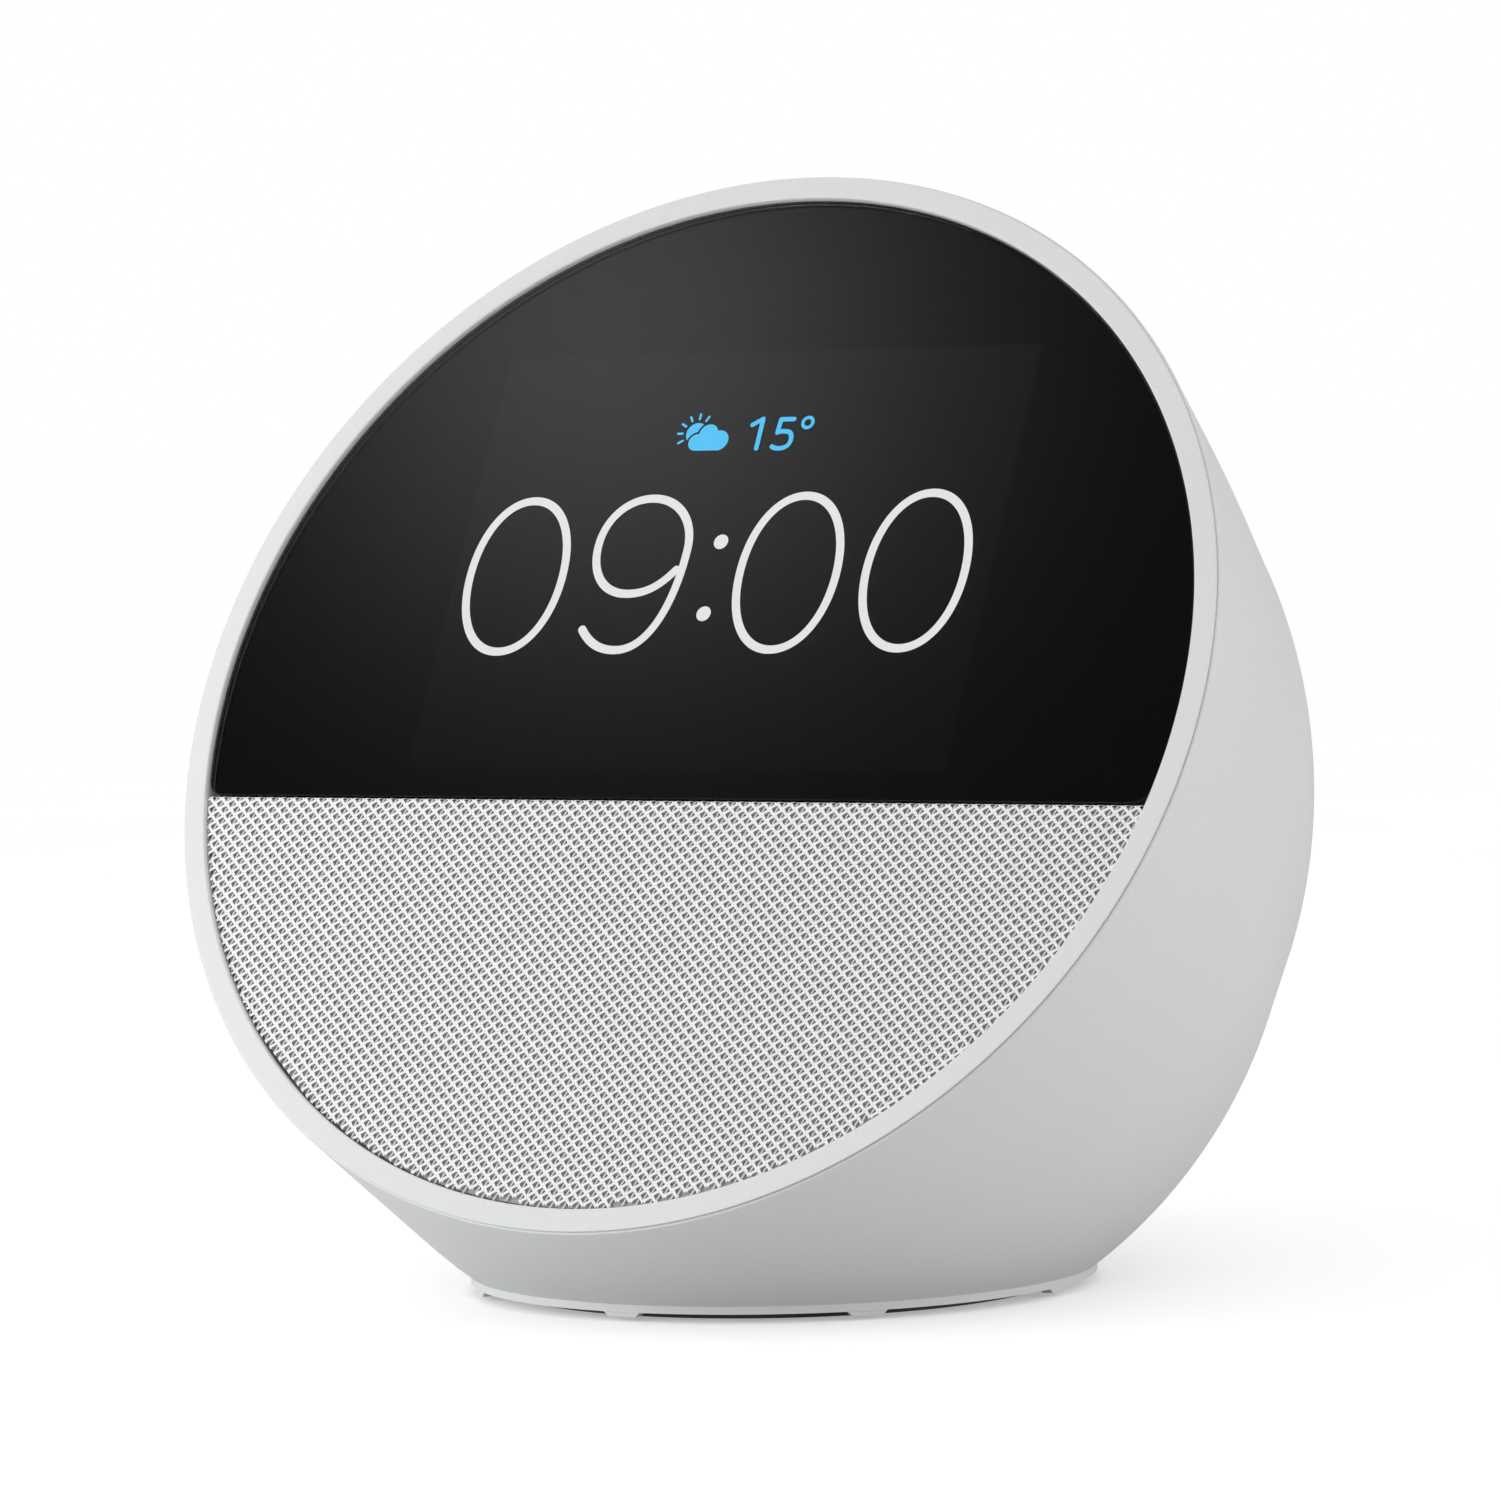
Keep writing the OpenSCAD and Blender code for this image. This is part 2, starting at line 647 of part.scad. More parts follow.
module key_board() color(BOARD) on_keys(key_board_z - key_board_t) difference() {
    block([key_board_l, key_board_b, key_board_t]);
    for (s = [-1, 1]) translate([s*key_post_x, 0, -1]) cylinder(r = pass_r, h = 3);
}

module key_switches() color(BLACK) for (x = [-key_pitch, 0, key_pitch])
    on_keys(key_board_z, x) difference() {
        block([switch_w, switch_w, switch_h]);
        translate([0, 0, 0.5]) cylinder(r = plunger_r + 0.15, h = switch_h);
    }

module microphones() color(STEEL) for (s = [-1, 1]) on_keys(key_board_z, s*mic_x) difference() {
    block([3, 2.4, mic_h]);
    translate([0, 0, 0.5]) cylinder(r = 0.3, h = 2);
}

module microphone_boots() color(BLACK) for (s = [-1, 1])
    on_keys(key_board_z + mic_h + stack_gap, s*mic_x)
        tube(boot_r, mic_hole_r + 0.05, ball_r - wall - key_board_z - mic_h - 0.8);

module key_board_screws() color(STEEL) for (s = [-1, 1])
    on_keys(key_board_z - key_board_t, s*key_post_x) screw(4.4);

// A key: a cap with the ball's own curve, a flange that keeps it in, and a stem
module key_cap(x) color(WHITE) {
    intersection() {
        on_keys(flange_low + 0.1, x) cylinder(r = key_r, h = 20);
        translate([0, ball_y, ball_z]) sphere(ball_r + key_proud);
    }
    on_keys(flange_low, x) cylinder(r = flange_r, h = flange_h);
    on_keys(plunger_top + stack_gap, x) cylinder(r = stem_r, h = flange_low - plunger_top);
}

module plunger(x) color(DARK)
    on_keys(plunger_low, x) cylinder(r = plunger_r, h = plunger_top - plunger_low);

module volume_down_key() key_cap(-key_pitch);
module microphone_key() key_cap(0);
module volume_up_key() key_cap(key_pitch);
module volume_down_plunger() plunger(-key_pitch);
module microphone_plunger() plunger(0);
module volume_up_plunger() plunger(key_pitch);

module power_jack() color(BLACK) difference() {
    union() {
        on_jack(-shroud_floor - 1) cylinder(r = nose_r, h = shroud_floor + 1);
        translate([-jack_size[0]/2, jack_y - shroud_floor - seat - jack_size[1],
            jack_z - jack_size[2]/2]) cube(jack_size);
    }
    on_jack(-socket_depth) cylinder(r = socket_r, h = socket_depth + 1);
}

module jack_pin() color(STEEL) on_jack(-socket_depth) cylinder(r = pin_r, h = socket_depth - 1);

module base_plate() color(WHITE) difference() {
    on_base(plate_z) cylinder(r = plate_r, h = plate_t);
    on_base(plate_z - 1) tube(foot_out + 0.1, foot_in - 0.1, 1 + foot_groove);
    at_base_screws() {
        translate([0, 0, plate_z - 1]) cylinder(r = pass_r, h = 5);
        translate([0, 0, plate_z - 1]) cylinder(r = head_r + 0.2, h = 1 + plate_t - 0.7);
    }
}

module base_screws() color(STEEL) at_base_screws()
    translate([0, 0, plate_z + plate_t - 0.7]) screw(3.8);

module foot_ring() color(GREY)
    on_base() tube(foot_out, foot_in, plate_z + foot_groove - stack_gap);

// A flat ribbon of width b and thickness t along points in a plane across x
module ribbon(points, b, t) translate([-b/2, 0, 0]) rotate([90, 0, 90]) linear_extrude(b)
    polygon(concat(points, [for (i = [len(points) - 1 : -1 : 0]) points[i] + [t, t]]));

module display_flex() color(COPPER) on_face(flex_x) ribbon([[lit_v - 21.6, tray_w - backlight_t - 0.35],
    [lit_v - 21.6, board_back - 1.1], [-5.15, board_back - 1.1]], 12, 0.2);

// From the main board's top edge to the underside of the key board
module key_flex() color(COPPER) {
    from = face_point(0, 34.9, board_back - 0.9);
    to = [ball_y, ball_z] + (key_board_z - key_board_t - 0.4)*[sin(key_lean), cos(key_lean)]
        - 3*[cos(key_lean), -sin(key_lean)];
    ribbon([[from[1], from[2]], [from[1] + 4, from[2] - 3.5], [to[0] - 4, to[1] - 2.5], to], 6, 0.2);
}

// The point (x, v, w) of the face's own frame
function face_point(x, v, w) = [x, face_y + v*sin(face_tilt) - w*cos(face_tilt),
    face_z + v*cos(face_tilt) + w*sin(face_tilt)];

// Round wire through a list of points
module wire(points) {
    for (i = [1 : len(points) - 1]) {
        d = points[i] - points[i - 1];
        translate(points[i - 1]) rotate([0, acos(d[2]/norm(d)), atan2(d[1], d[0])])
            cylinder(r = wire_r, h = norm(d), $fn = 24);
    }
    if (len(points) > 2) for (i = [1 : len(points) - 2])
        translate(points[i]) sphere(wire_r + 0.05, $fn = 24);
}

module speaker_wires() color(DARK) for (s = [-1, 1]) on_face(s*wire_x) wire([
    [0, driver_v + roll_out + 1.15, flange_w - flange_t - 1.5],
    [0, driver_v + roll_out + 1.15, wire_w], [0, -4.9, wire_w]]);

module power_wires() color(DARK) for (s = [-1, 1]) {
    back = jack_y - shroud_floor - seat - jack_size[1] - 0.1;
    wire([[s*wire_x, back, jack_z], [s*wire_x, back - 2, jack_z], [s*wire_x + 10, back - 4, jack_z + 9],
        [s*wire_x + power_x, back - 14, jack_z + 22], face_point(s*wire_x + power_x, -9, wire_w),
        face_point(s*wire_x + power_x, -4.9, wire_w)]);
}

rear_housing();
front_bezel();
display_glass();
glass_tape();
lcd_panel();
lcd_backlight();
display_bracket();
bracket_screws();
grille_cloth();
grille_frame();
speaker_gasket();
speaker_basket();
speaker_surround();
speaker_spider();
speaker_cone();
dust_cap();
voice_coil();
magnet_top_plate();
speaker_magnet();
magnet_yoke();
speaker_terminals();
speaker_chamber();
speaker_screws();
main_board();
processor_shield();
board_parts();
heat_spreader();
board_screws();
wifi_antenna();
key_board();
key_switches();
microphones();
microphone_boots();
key_board_screws();
volume_down_key();
microphone_key();
volume_up_key();
volume_down_plunger();
microphone_plunger();
volume_up_plunger();
power_jack();
jack_pin();
base_plate();
base_screws();
foot_ring();
display_flex();
key_flex();
speaker_wires();
power_wires();
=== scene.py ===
import json
import math

import bmesh
import bpy
from bpy.props import FloatProperty, FloatVectorProperty, IntProperty, PointerProperty
from mathutils import Matrix, Vector


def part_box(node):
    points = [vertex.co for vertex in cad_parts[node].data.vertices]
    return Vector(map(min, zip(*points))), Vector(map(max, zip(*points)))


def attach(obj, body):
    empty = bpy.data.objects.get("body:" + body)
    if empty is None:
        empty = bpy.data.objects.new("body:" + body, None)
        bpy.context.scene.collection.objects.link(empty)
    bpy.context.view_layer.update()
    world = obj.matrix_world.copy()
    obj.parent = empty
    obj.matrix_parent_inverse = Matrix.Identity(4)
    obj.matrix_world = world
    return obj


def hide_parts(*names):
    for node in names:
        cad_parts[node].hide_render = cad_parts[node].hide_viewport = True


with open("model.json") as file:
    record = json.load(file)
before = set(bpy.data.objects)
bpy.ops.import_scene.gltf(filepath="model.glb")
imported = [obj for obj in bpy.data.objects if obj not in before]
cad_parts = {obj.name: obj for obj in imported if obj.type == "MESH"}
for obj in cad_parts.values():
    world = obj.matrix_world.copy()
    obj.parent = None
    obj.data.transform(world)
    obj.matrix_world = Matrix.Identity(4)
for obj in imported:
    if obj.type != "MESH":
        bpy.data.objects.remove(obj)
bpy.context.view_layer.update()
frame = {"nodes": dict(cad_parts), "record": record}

bl_info = {
    "name": "Clock Speaker",
    "version": (1, 0, 0),
    "blender": (4, 5, 0),
    "location": "View3D > Sidebar > Clock Speaker",
    "description": "Builds the visible pieces of a round clock speaker on its packed frame",
    "category": "Object",
}

MM = 0.001

# ---------------------------------------------------------------------------
# Where the CAD says that the face, the ball and the keys are
# ---------------------------------------------------------------------------

TILT = math.radians(28)
LEAN = math.radians(38)
BEZEL_LOW, BEZEL_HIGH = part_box("front_bezel")
BEZEL_R = BEZEL_HIGH.x
RIM_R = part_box("rear_housing")[1].x
LIP_W = -0.14 * MM
EDGE_R = 0.15 * MM
FACE_Z = BEZEL_HIGH.z - (BEZEL_R - EDGE_R) * math.cos(TILT) + EDGE_R * math.sin(TILT) - EDGE_R
FACE_Y = BEZEL_LOW.y + (BEZEL_R - EDGE_R) * math.sin(TILT) - EDGE_R * math.cos(TILT) + EDGE_R
BALL_DEPTH = 24.0 * MM
BELLY_DEPTH = 22.5 * MM
BELLY_DROP = 7.0 * MM
BASE_Y = (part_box("foot_ring")[0].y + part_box("foot_ring")[1].y) / 2
ON_FACE = Matrix.Translation((0, FACE_Y, FACE_Z)) @ Matrix.Rotation(math.pi / 2 - TILT, 4, "X")
BALL = ON_FACE @ Vector((0, 0, -BALL_DEPTH))
ON_KEYS = Matrix.Translation(BALL) @ Matrix.Rotation(-LEAN, 4, "X")
ON_BASE = Matrix.Translation((0, BASE_Y, 0))
JACK_Z = (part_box("jack_pin")[0].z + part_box("jack_pin")[1].z) / 2
JACK_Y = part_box("jack_pin")[1].y + 1.0 * MM
ON_JACK = Matrix.Translation((0, JACK_Y, JACK_Z)) @ Matrix.Rotation(-math.pi / 2, 4, "X")

# The keys, the microphones and the plug, in millimetres
KEY_X = 13.5
MIC_X = 6.75
KEY_R = 4.3
KEY_HOLE_R = 4.5
MIC_HOLE_R = 0.5
PLUG_R = 5.0
SOCKET_R = 3.35
# How far the keys' faces stand out from the ball, and how far the bezel's front stands proud
KEY_RISE = 0.2
PROUD = 0.2
# Clock and weather figures: shift on the face, and what is left of their thickness
FIGURES_AT = (-0.45, 0.3)
FLATNESS = 0.02


# ---------------------------------------------------------------------------
# Settings
# ---------------------------------------------------------------------------

def length(name, text, default):
    """A setting in metres whose default is given in millimetres."""
    return FloatProperty(name=name, description=text, default=default * MM, unit="LENGTH")


def direction(name, text, default):
    return FloatProperty(name=name, description=text, default=math.radians(default), subtype="ANGLE")


def colour_of(name, text, *default):
    return FloatVectorProperty(name=name, description=text, subtype="COLOR", size=3, default=default)


class SPEAKER_PG_shell(bpy.types.PropertyGroup):
    ball_r: length("Ball radius", "Radius of the ball that makes the back", 51.6)
    swell: length("Swell", "How far the collar stands out from a straight cone", 0.25)
    waist: length("Waist", "How far the flanks lie inside the ball", 0.5)
    base_r: length("Base radius", "Radius of the upright band", 31.0)
    band_low: length("Band bottom", "Height of the band's lower edge", 0.9)
    band_high: length("Band top", "Height of the band's upper edge", 1.65)
    tabs: IntProperty(name="Tabs", description="Number of small tabs under the band", default=8)
    colour: colour_of("Colour", "Colour of the shell, bezel and keys", 0.79, 0.81, 0.80)


class SPEAKER_PG_face(bpy.types.PropertyGroup):
    opening_r: length("Opening radius", "Radius of the opening inside the bezel", 53.9)
    split: length("Split", "Height of the line between display and grille", -11.7)
    recess: length("Recess", "How far glass and cloth lie below the plane of the face", 0.25)
    corner: length("Corner radius", "Radius of the corners of glass and cloth", 1.6)
    glass_t: length("Glass thickness", "Thickness of the cover glass", 1.1)
    lit_w: length("Lit width", "Width of the lit area", 60.6)
    lit_h: length("Lit height", "Height of the lit area", 45.5)
    lit_v: length("Lit centre", "Height of the lit area's centre on the face", 14.5)
    digit_colour: colour_of("Digits", "Light of the clock digits", 0.85, 0.85, 0.85)
    weather_colour: colour_of("Weather", "Light of the weather line", 0.08, 0.58, 1.0)


class SPEAKER_PG_knit(bpy.types.PropertyGroup):
    pitch_x: length("Wale pitch", "Distance between holes along a row", 1.424)
    pitch_v: length("Course pitch", "Distance between holes up a column", 1.238)
    yarn: length("Yarn width", "Width of a strand at its middle", 0.27)
    node: length("Knot width", "Width of a strand where two meet", 0.47)
    colour: colour_of("Yarn colour", "Colour of the yarn", 0.95, 0.965, 0.955)


class SPEAKER_PG_stage(bpy.types.PropertyGroup):
    azimuth: direction("Azimuth", "Camera direction round the speaker", 30.18)
    elevation: direction("Elevation", "Camera direction above the floor", 2.64)
    roll: direction("Roll", "Turn of the camera about its axis", -1.35)
    distance: length("Distance", "Camera distance", 683.3)
    lens: FloatProperty(name="Lens", description="Focal length in millimetres", default=165.4)


def settings():
    return bpy.context.scene.clock_speaker


# ---------------------------------------------------------------------------
# Mesh helpers
# ---------------------------------------------------------------------------

def spin_closed(bm, points, steps=320):
    """A closed profile of (r, z) points in millimetres, turned about Z."""
    verts = [bm.verts.new((r * MM, 0, z * MM)) for r, z in points]
    edges = [bm.edges.new((verts[i], verts[(i + 1) % len(verts)])) for i in range(len(verts))]
    bmesh.ops.spin(bm, geom=verts + edges, cent=(0, 0, 0), axis=(0, 0, 1), angle=2 * math.pi,
                   steps=steps, use_merge=True)
    bmesh.ops.remove_doubles(bm, verts=bm.verts, dist=1e-7)
    bmesh.ops.recalc_face_normals(bm, faces=bm.faces)


def block(bm, size, place):
    """A block of size in millimetres, put at place, a matrix."""
    made = bmesh.ops.create_cube(bm, size=1.0)["verts"]
    bmesh.ops.scale(bm, vec=Vector(size) * MM, verts=made)
    bmesh.ops.transform(bm, matrix=place, verts=made)
    return made


def shift(x, v, w):
    return Matrix.Translation((x * MM, v * MM, w * MM))


def rod(bm, place, radius, depth, steps):
    """A capped cylinder in millimetres about the middle of place."""
    bmesh.ops.create_cone(bm, cap_ends=True, segments=steps, radius1=radius * MM, radius2=radius * MM,
                          depth=depth * MM, matrix=place)


def grow(bm, edges):
    """Extrudes edges on the spot. Gives the new vertices and the new edges."""
    made = bmesh.ops.extrude_edge_only(bm, edges=edges)["geom"]
    return ([g for g in made if isinstance(g, bmesh.types.BMVert)],
            [g for g in made if isinstance(g, bmesh.types.BMEdge)])


def set_round(verts, place, radius, level):
    """Moves vertices straight in or out to a radius about place's axis, at a level along it."""
    back = place.inverted()
    for v in verts:
        p = back @ v.co
        flat = Vector((p.x, p.y, 0)).normalized() * radius
        v.co = place @ Vector((flat.x, flat.y, level))


def add_to(bm, other):
    """Adds the mesh of another bmesh to bm, and frees it."""
    mesh = bpy.data.meshes.new("passing")
    other.to_mesh(mesh)
    other.free()
    bm.from_mesh(mesh)
    bpy.data.meshes.remove(mesh)


def add_turned(bm, points, place, steps):
    """Adds a closed profile, turned about place's axis, to bm."""
    ring = bmesh.new()
    spin_closed(ring, points, steps)
    bmesh.ops.transform(ring, matrix=place, verts=ring.verts)
    add_to(bm, ring)


def bisect(bm, point, normal, **clear):
    bmesh.ops.bisect_plane(bm, geom=bm.verts[:] + bm.edges[:] + bm.faces[:], dist=1e-7, plane_co=point,
                           plane_no=normal, **clear)


def new_object(bm, name, angle=35.0, place=None):
    """Turns bm, moved by place, into an object, smooth but for edges sharper than angle."""
    if place is not None:
        bmesh.ops.transform(bm, matrix=place, verts=bm.verts)
    mesh = bpy.data.meshes.new(name)
    bm.normal_update()
    bm.to_mesh(mesh)
    bm.free()
    mesh.shade_smooth()
    mesh.set_sharp_from_angle(angle=math.radians(angle))
    piece = bpy.data.objects.new(name, mesh)
    bpy.context.scene.collection.objects.link(piece)
    return piece


def bevelled(piece, width, segments=3, angle=40.0):
    mod = piece.modifiers.new("edge rounding", "BEVEL")
    mod.width = width * MM
    mod.segments = segments
    mod.limit_method = "ANGLE"
    mod.angle_limit = math.radians(angle)


def apply_modifiers(piece, angle=35.0):
    """Bakes the piece's modifiers into its mesh."""
    graph = bpy.context.evaluated_depsgraph_get()
    mesh = bpy.data.meshes.new_from_object(piece.evaluated_get(graph), depsgraph=graph)
    piece.modifiers.clear()
    old = piece.data
    piece.data = mesh
    bpy.data.meshes.remove(old)
    mesh.shade_smooth()
    mesh.set_sharp_from_angle(angle=math.radians(angle))


def even_shading(piece):
    """Keeps broad faces flat-shaded right up to their rounded edges."""
    mod = piece.modifiers.new("even shading", "WEIGHTED_NORMAL")
    mod.keep_sharp = True


def fit_out(piece, body, slot, *replaced, material=None):
    """Gives a piece its body and its slot's or its own material, and hides the nodes that it stands for."""
    piece.data.materials.clear()
    piece.data.materials.append(material or finish_named(slot))
    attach(piece, body)
    if replaced:
        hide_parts(*replaced)


def outline(bm, radius, low, corner, w, steps=360):
    """One flat face: the part of a disc above the line y = low, with round corners, at height w."""
    bmesh.ops.create_circle(bm, cap_ends=True, cap_tris=False, segments=steps, radius=radius)
    bisect(bm, (0, low, 0), (0, 1, 0), clear_inner=True)
    ends = sorted((v for v in bm.verts if abs(v.co.y - low) < 1e-6), key=lambda v: v.co.x)
    corners = [ends[0], ends[-1]]
    # room for the round: drop the arc's points next to each corner, and any left on the line
    near = [v for v in bm.verts if v not in corners
            and min((v.co - c.co).length for c in corners) < corner * 1.05]
    bmesh.ops.dissolve_verts(bm, verts=near)
    bmesh.ops.bevel(bm, geom=corners, offset=corner * 0.92, offset_type="OFFSET", segments=8, profile=0.5,
                    affect="VERTICES", clamp_overlap=False, material=-1)
    bmesh.ops.translate(bm, vec=(0, 0, w), verts=bm.verts)
    bmesh.ops.recalc_face_normals(bm, faces=bm.faces)
    for face in bm.faces:
        if face.normal.z < 0:
            face.normal_flip()


def thicken(bm, depth):
    """Turns the flat faces of bm, which look up, into a plate of that depth below them."""
    made = bmesh.ops.extrude_face_region(bm, geom=bm.faces[:])
    bmesh.ops.translate(bm, vec=(0, 0, -depth),
                        verts=[g for g in made["geom"] if isinstance(g, bmesh.types.BMVert)])
    bmesh.ops.recalc_face_normals(bm, faces=bm.faces)


# ---------------------------------------------------------------------------
# Node groups and materials
# ---------------------------------------------------------------------------

def feed(node, inputs):
    """Gives a node's inputs their values, or links them to outputs of other nodes."""
    for key, value in inputs.items():
        if isinstance(value, bpy.types.NodeSocket):
            node.id_data.links.new(value, node.inputs[key])
        else:
            node.inputs[key].default_value = value


def add_node(tree, kind, inputs=None, **choices):
    node = tree.nodes.new("ShaderNode" + kind)
    for key, value in choices.items():
        setattr(node, key, value)
    feed(node, inputs or {})
    return node


def noise(tree, inputs):
    return add_node(tree, "TexNoise", inputs).outputs["Fac"]


def span(tree, value, low, high, start=0.0, end=1.0, **choices):
    """Maps a value that goes from start to end to one that goes from low to high."""
    return add_node(tree, "MapRange", {"Value": value, "From Min": start, "From Max": end, "To Min": low,
                                       "To Max": high}, **choices).outputs["Result"]


def maths(tree, operation, *values):
    return add_node(tree, "Math", dict(enumerate(values)), operation=operation).outputs[0]


def tinted(tree, colour, factor):
    return add_node(tree, "VectorMath", {0: colour, "Scale": factor}, operation="SCALE").outputs[0]


def new_group(name, inputs, outputs):
    """A node group. An input's value tells its kind, and one without a value is a vector."""
    group = bpy.data.node_groups.new(name, "ShaderNodeTree")
    kinds = {type(None): "NodeSocketVector", tuple: "NodeSocketColor", float: "NodeSocketFloat"}
    for label, value in inputs.items():
        socket = group.interface.new_socket(name=label, in_out="INPUT", socket_type=kinds[type(value)])
        if value is not None:
            socket.default_value = value
    for label in outputs:
        kind = "NodeSocketColor" if label == "Colour" else "NodeSocketFloat"
        group.interface.new_socket(name=label, in_out="OUTPUT", socket_type=kind)
    source = group.nodes.new("NodeGroupInput").outputs
    return group, source, group.nodes.new("NodeGroupOutput")


def moulded_group():
    """Spark-eroded mould texture with a faint drift of tone."""
    group, source, sink = new_group(
        "MouldedSurface",
        {"Vector": None, "Colour": (0.8, 0.8, 0.8, 1), "Roughness": 0.5, "Grain": 3000.0, "Drift": 0.02},
        ("Colour", "Roughness", "Height"))
    place = source["Vector"]
    fine = noise(group, {"Vector": place, "Detail": 2.0, "Roughness": 0.6, "Scale": source["Grain"]})
    wide = span(group, noise(group, {"Vector": place, "Scale": 28.0, "Detail": 3.0}), -1.0, 1.0, 0.3, 0.7)
    drift = maths(group, "MULTIPLY_ADD", wide, source["Drift"], 1.0)
    tone = maths(group, "MULTIPLY", drift, span(group, fine, 0.965, 1.035))
    feed(sink, {"Colour": tinted(group, source["Colour"], tone),
                "Roughness": maths(group, "MULTIPLY_ADD", wide, 0.06, source["Roughness"]),
                "Height": fine})
    return group


def metal_group():
    """Drawn or ground metal: long fine streaks and a slight stain."""
    group, source, sink = new_group(
        "GroundMetal", {"Vector": None, "Colour": (0.6, 0.6, 0.6, 1), "Roughness": 0.35},
        ("Colour", "Roughness", "Height"))
    stretched = add_node(group, "Mapping", {"Vector": source["Vector"], "Scale": (60.0, 900.0, 900.0)})
    streak = noise(group, {"Vector": stretched.outputs[0], "Scale": 3.0, "Detail": 3.0})
    tone = span(group, streak, 0.82, 1.12)
    feed(sink, {"Colour": tinted(group, source["Colour"], tone),
                "Roughness": maths(group, "MULTIPLY", source["Roughness"], tone),
                "Height": streak})
    return group


def yarn_group():
    """Twisted filament yarn: fine fibres and a slow change of tone from strand to strand."""
    group, source, sink = new_group(
        "FilamentYarn", {"Vector": None, "Colour": (0.8, 0.8, 0.8, 1), "Fibres": 9000.0},
        ("Colour", "Height"))
    place = source["Vector"]
    fibre = noise(group, {"Vector": place, "Detail": 2.0, "Scale": source["Fibres"]})
    slow = span(group, noise(group, {"Vector": place, "Scale": 520.0, "Detail": 1.0}), 0.97, 1.03, 0.3, 0.7)
    tone = maths(group, "MULTIPLY", slow, span(group, fibre, 0.93, 1.05))
    feed(sink, {"Colour": tinted(group, source["Colour"], tone), "Height": fibre})
    return group


GROUPS = {}


def group_from(maker):
    """The node group of a maker, built once."""
    if maker not in GROUPS:
        GROUPS[maker] = maker()
    return GROUPS[maker]


def new_material(name, inputs):
    """A material with its node tree and its shader."""
    made = bpy.data.materials.new(name)
    made.use_nodes = True
    tree = made.node_tree
    shader = tree.nodes["Principled BSDF"]
    feed(shader, inputs)
    return made, tree, shader


def coordinates(tree, kind="Object"):
    return add_node(tree, "TexCoord").outputs[kind]


def material_with(name, maker, colour, roughness, bump, inputs, **values):
    """A material whose colour, roughness and bump come from a shared group. Values are the group's."""
    made, tree, shader = new_material(name, inputs)
    effect = add_node(tree, "Group", node_tree=group_from(maker))
    feed(effect, {"Vector": coordinates(tree), "Colour": (*colour, 1), **values})
    if "Roughness" in effect.inputs:
        feed(effect, {"Roughness": roughness})
        roughness = effect.outputs["Roughness"]
    relief = add_node(tree, "Bump", {"Strength": 1.0, "Distance": bump * MM,
                                     "Height": effect.outputs["Height"]})
    feed(shader, {"Base Color": effect.outputs["Colour"], "Roughness": roughness,
                  "Normal": relief.outputs["Normal"]})
    return made


def plastic(name, colour, roughness=0.5, grain=3000.0, bump=0.012, drift=0.012, specular=0.5):
    return material_with(name, moulded_group, colour, roughness, bump, {"Specular IOR Level": specular},
                         Grain=grain, Drift=drift)


def metal(name, colour, roughness=0.35):
    return material_with(name, metal_group, colour, roughness, 0.003, {"Metallic": 1.0})


def yarn(name, colour, roughness=0.85, bump=0.02, fibres=9000.0):
    sheen = {"Specular IOR Level": 0.3, "Sheen Weight": 0.25, "Sheen Roughness": 0.5}
    return material_with(name, yarn_group, colour, roughness, bump, sheen, Fibres=fibres)


def clear_glass(name):
    """Cover glass with a hard clear face; its faint haze is a fine noise in the roughness."""
    made, tree, shader = new_material(
        name, {"Base Color": (1, 1, 1, 1), "Transmission Weight": 1.0, "IOR": 1.5})
    haze = noise(tree, {"Vector": coordinates(tree), "Scale": 60.0})
    feed(shader, {"Roughness": span(tree, haze, 0.0, 0.02)})
    return made


def film_with_painted_rise(name, low, high):
    """Display film: black, with the faint glow of its backlight; the glow's rise towards the top is painted
    reflection.
    """
    made, tree, shader = new_material(name, {
        "Base Color": (0.003, 0.003, 0.003, 1), "Roughness": 0.35, "Specular IOR Level": 0.0,
        "Emission Strength": 1.0})
    place = coordinates(tree)
    face = settings().face
    ends = [(ON_FACE @ Vector((0, face.lit_v + side * face.lit_h / 2, 0))).z for side in (-1, 1)]
    # painted reflection: the backlight glow rises with height, from low at the lit area's bottom to high at
    # its top
    rise = span(tree, add_node(tree, "SeparateXYZ", {0: place}).outputs["Z"], low, high, *ends)
    vary = span(tree, noise(tree, {"Vector": place, "Scale": 120.0}), 0.92, 1.08)
    glow = maths(tree, "MULTIPLY", rise, vary)
    grey = add_node(tree, "CombineXYZ", dict.fromkeys(range(3), glow))
    feed(shader, {"Emission Color": grey.outputs[0]})
    return made


def lit_sign(name, colour):
    """Lit cells of the display, with their fine raster."""
    made, tree, shader = new_material(name, {
        "Base Color": (0.01, 0.01, 0.01, 1), "Roughness": 0.6, "Specular IOR Level": 0.0,
        "Emission Strength": 1.0})
    cells = span(tree, noise(tree, {"Vector": coordinates(tree), "Scale": 9000.0}), 0.9, 1.06)
    feed(shader, {"Emission Color": tinted(tree, colour, cells)})
    return made


def board_finish(name, colour):
    """Solder mask with faint tracks under it."""
    made, tree, shader = new_material(name, {"Roughness": 0.3})
    tracks = add_node(tree, "TexBrick", {
        "Vector": coordinates(tree), "Scale": 320.0, "Mortar Size": 0.04, "Color1": (*colour, 1),
        "Color2": (*[c * 1.25 for c in colour], 1), "Mortar": (*[c * 0.6 for c in colour], 1)})
    relief = add_node(tree, "Bump", {"Distance": 0.02 * MM, "Height": tracks.outputs["Fac"]})
    feed(shader, {"Base Color": tracks.outputs["Color"], "Normal": relief.outputs["Normal"]})
    return made


MATERIALS = {}


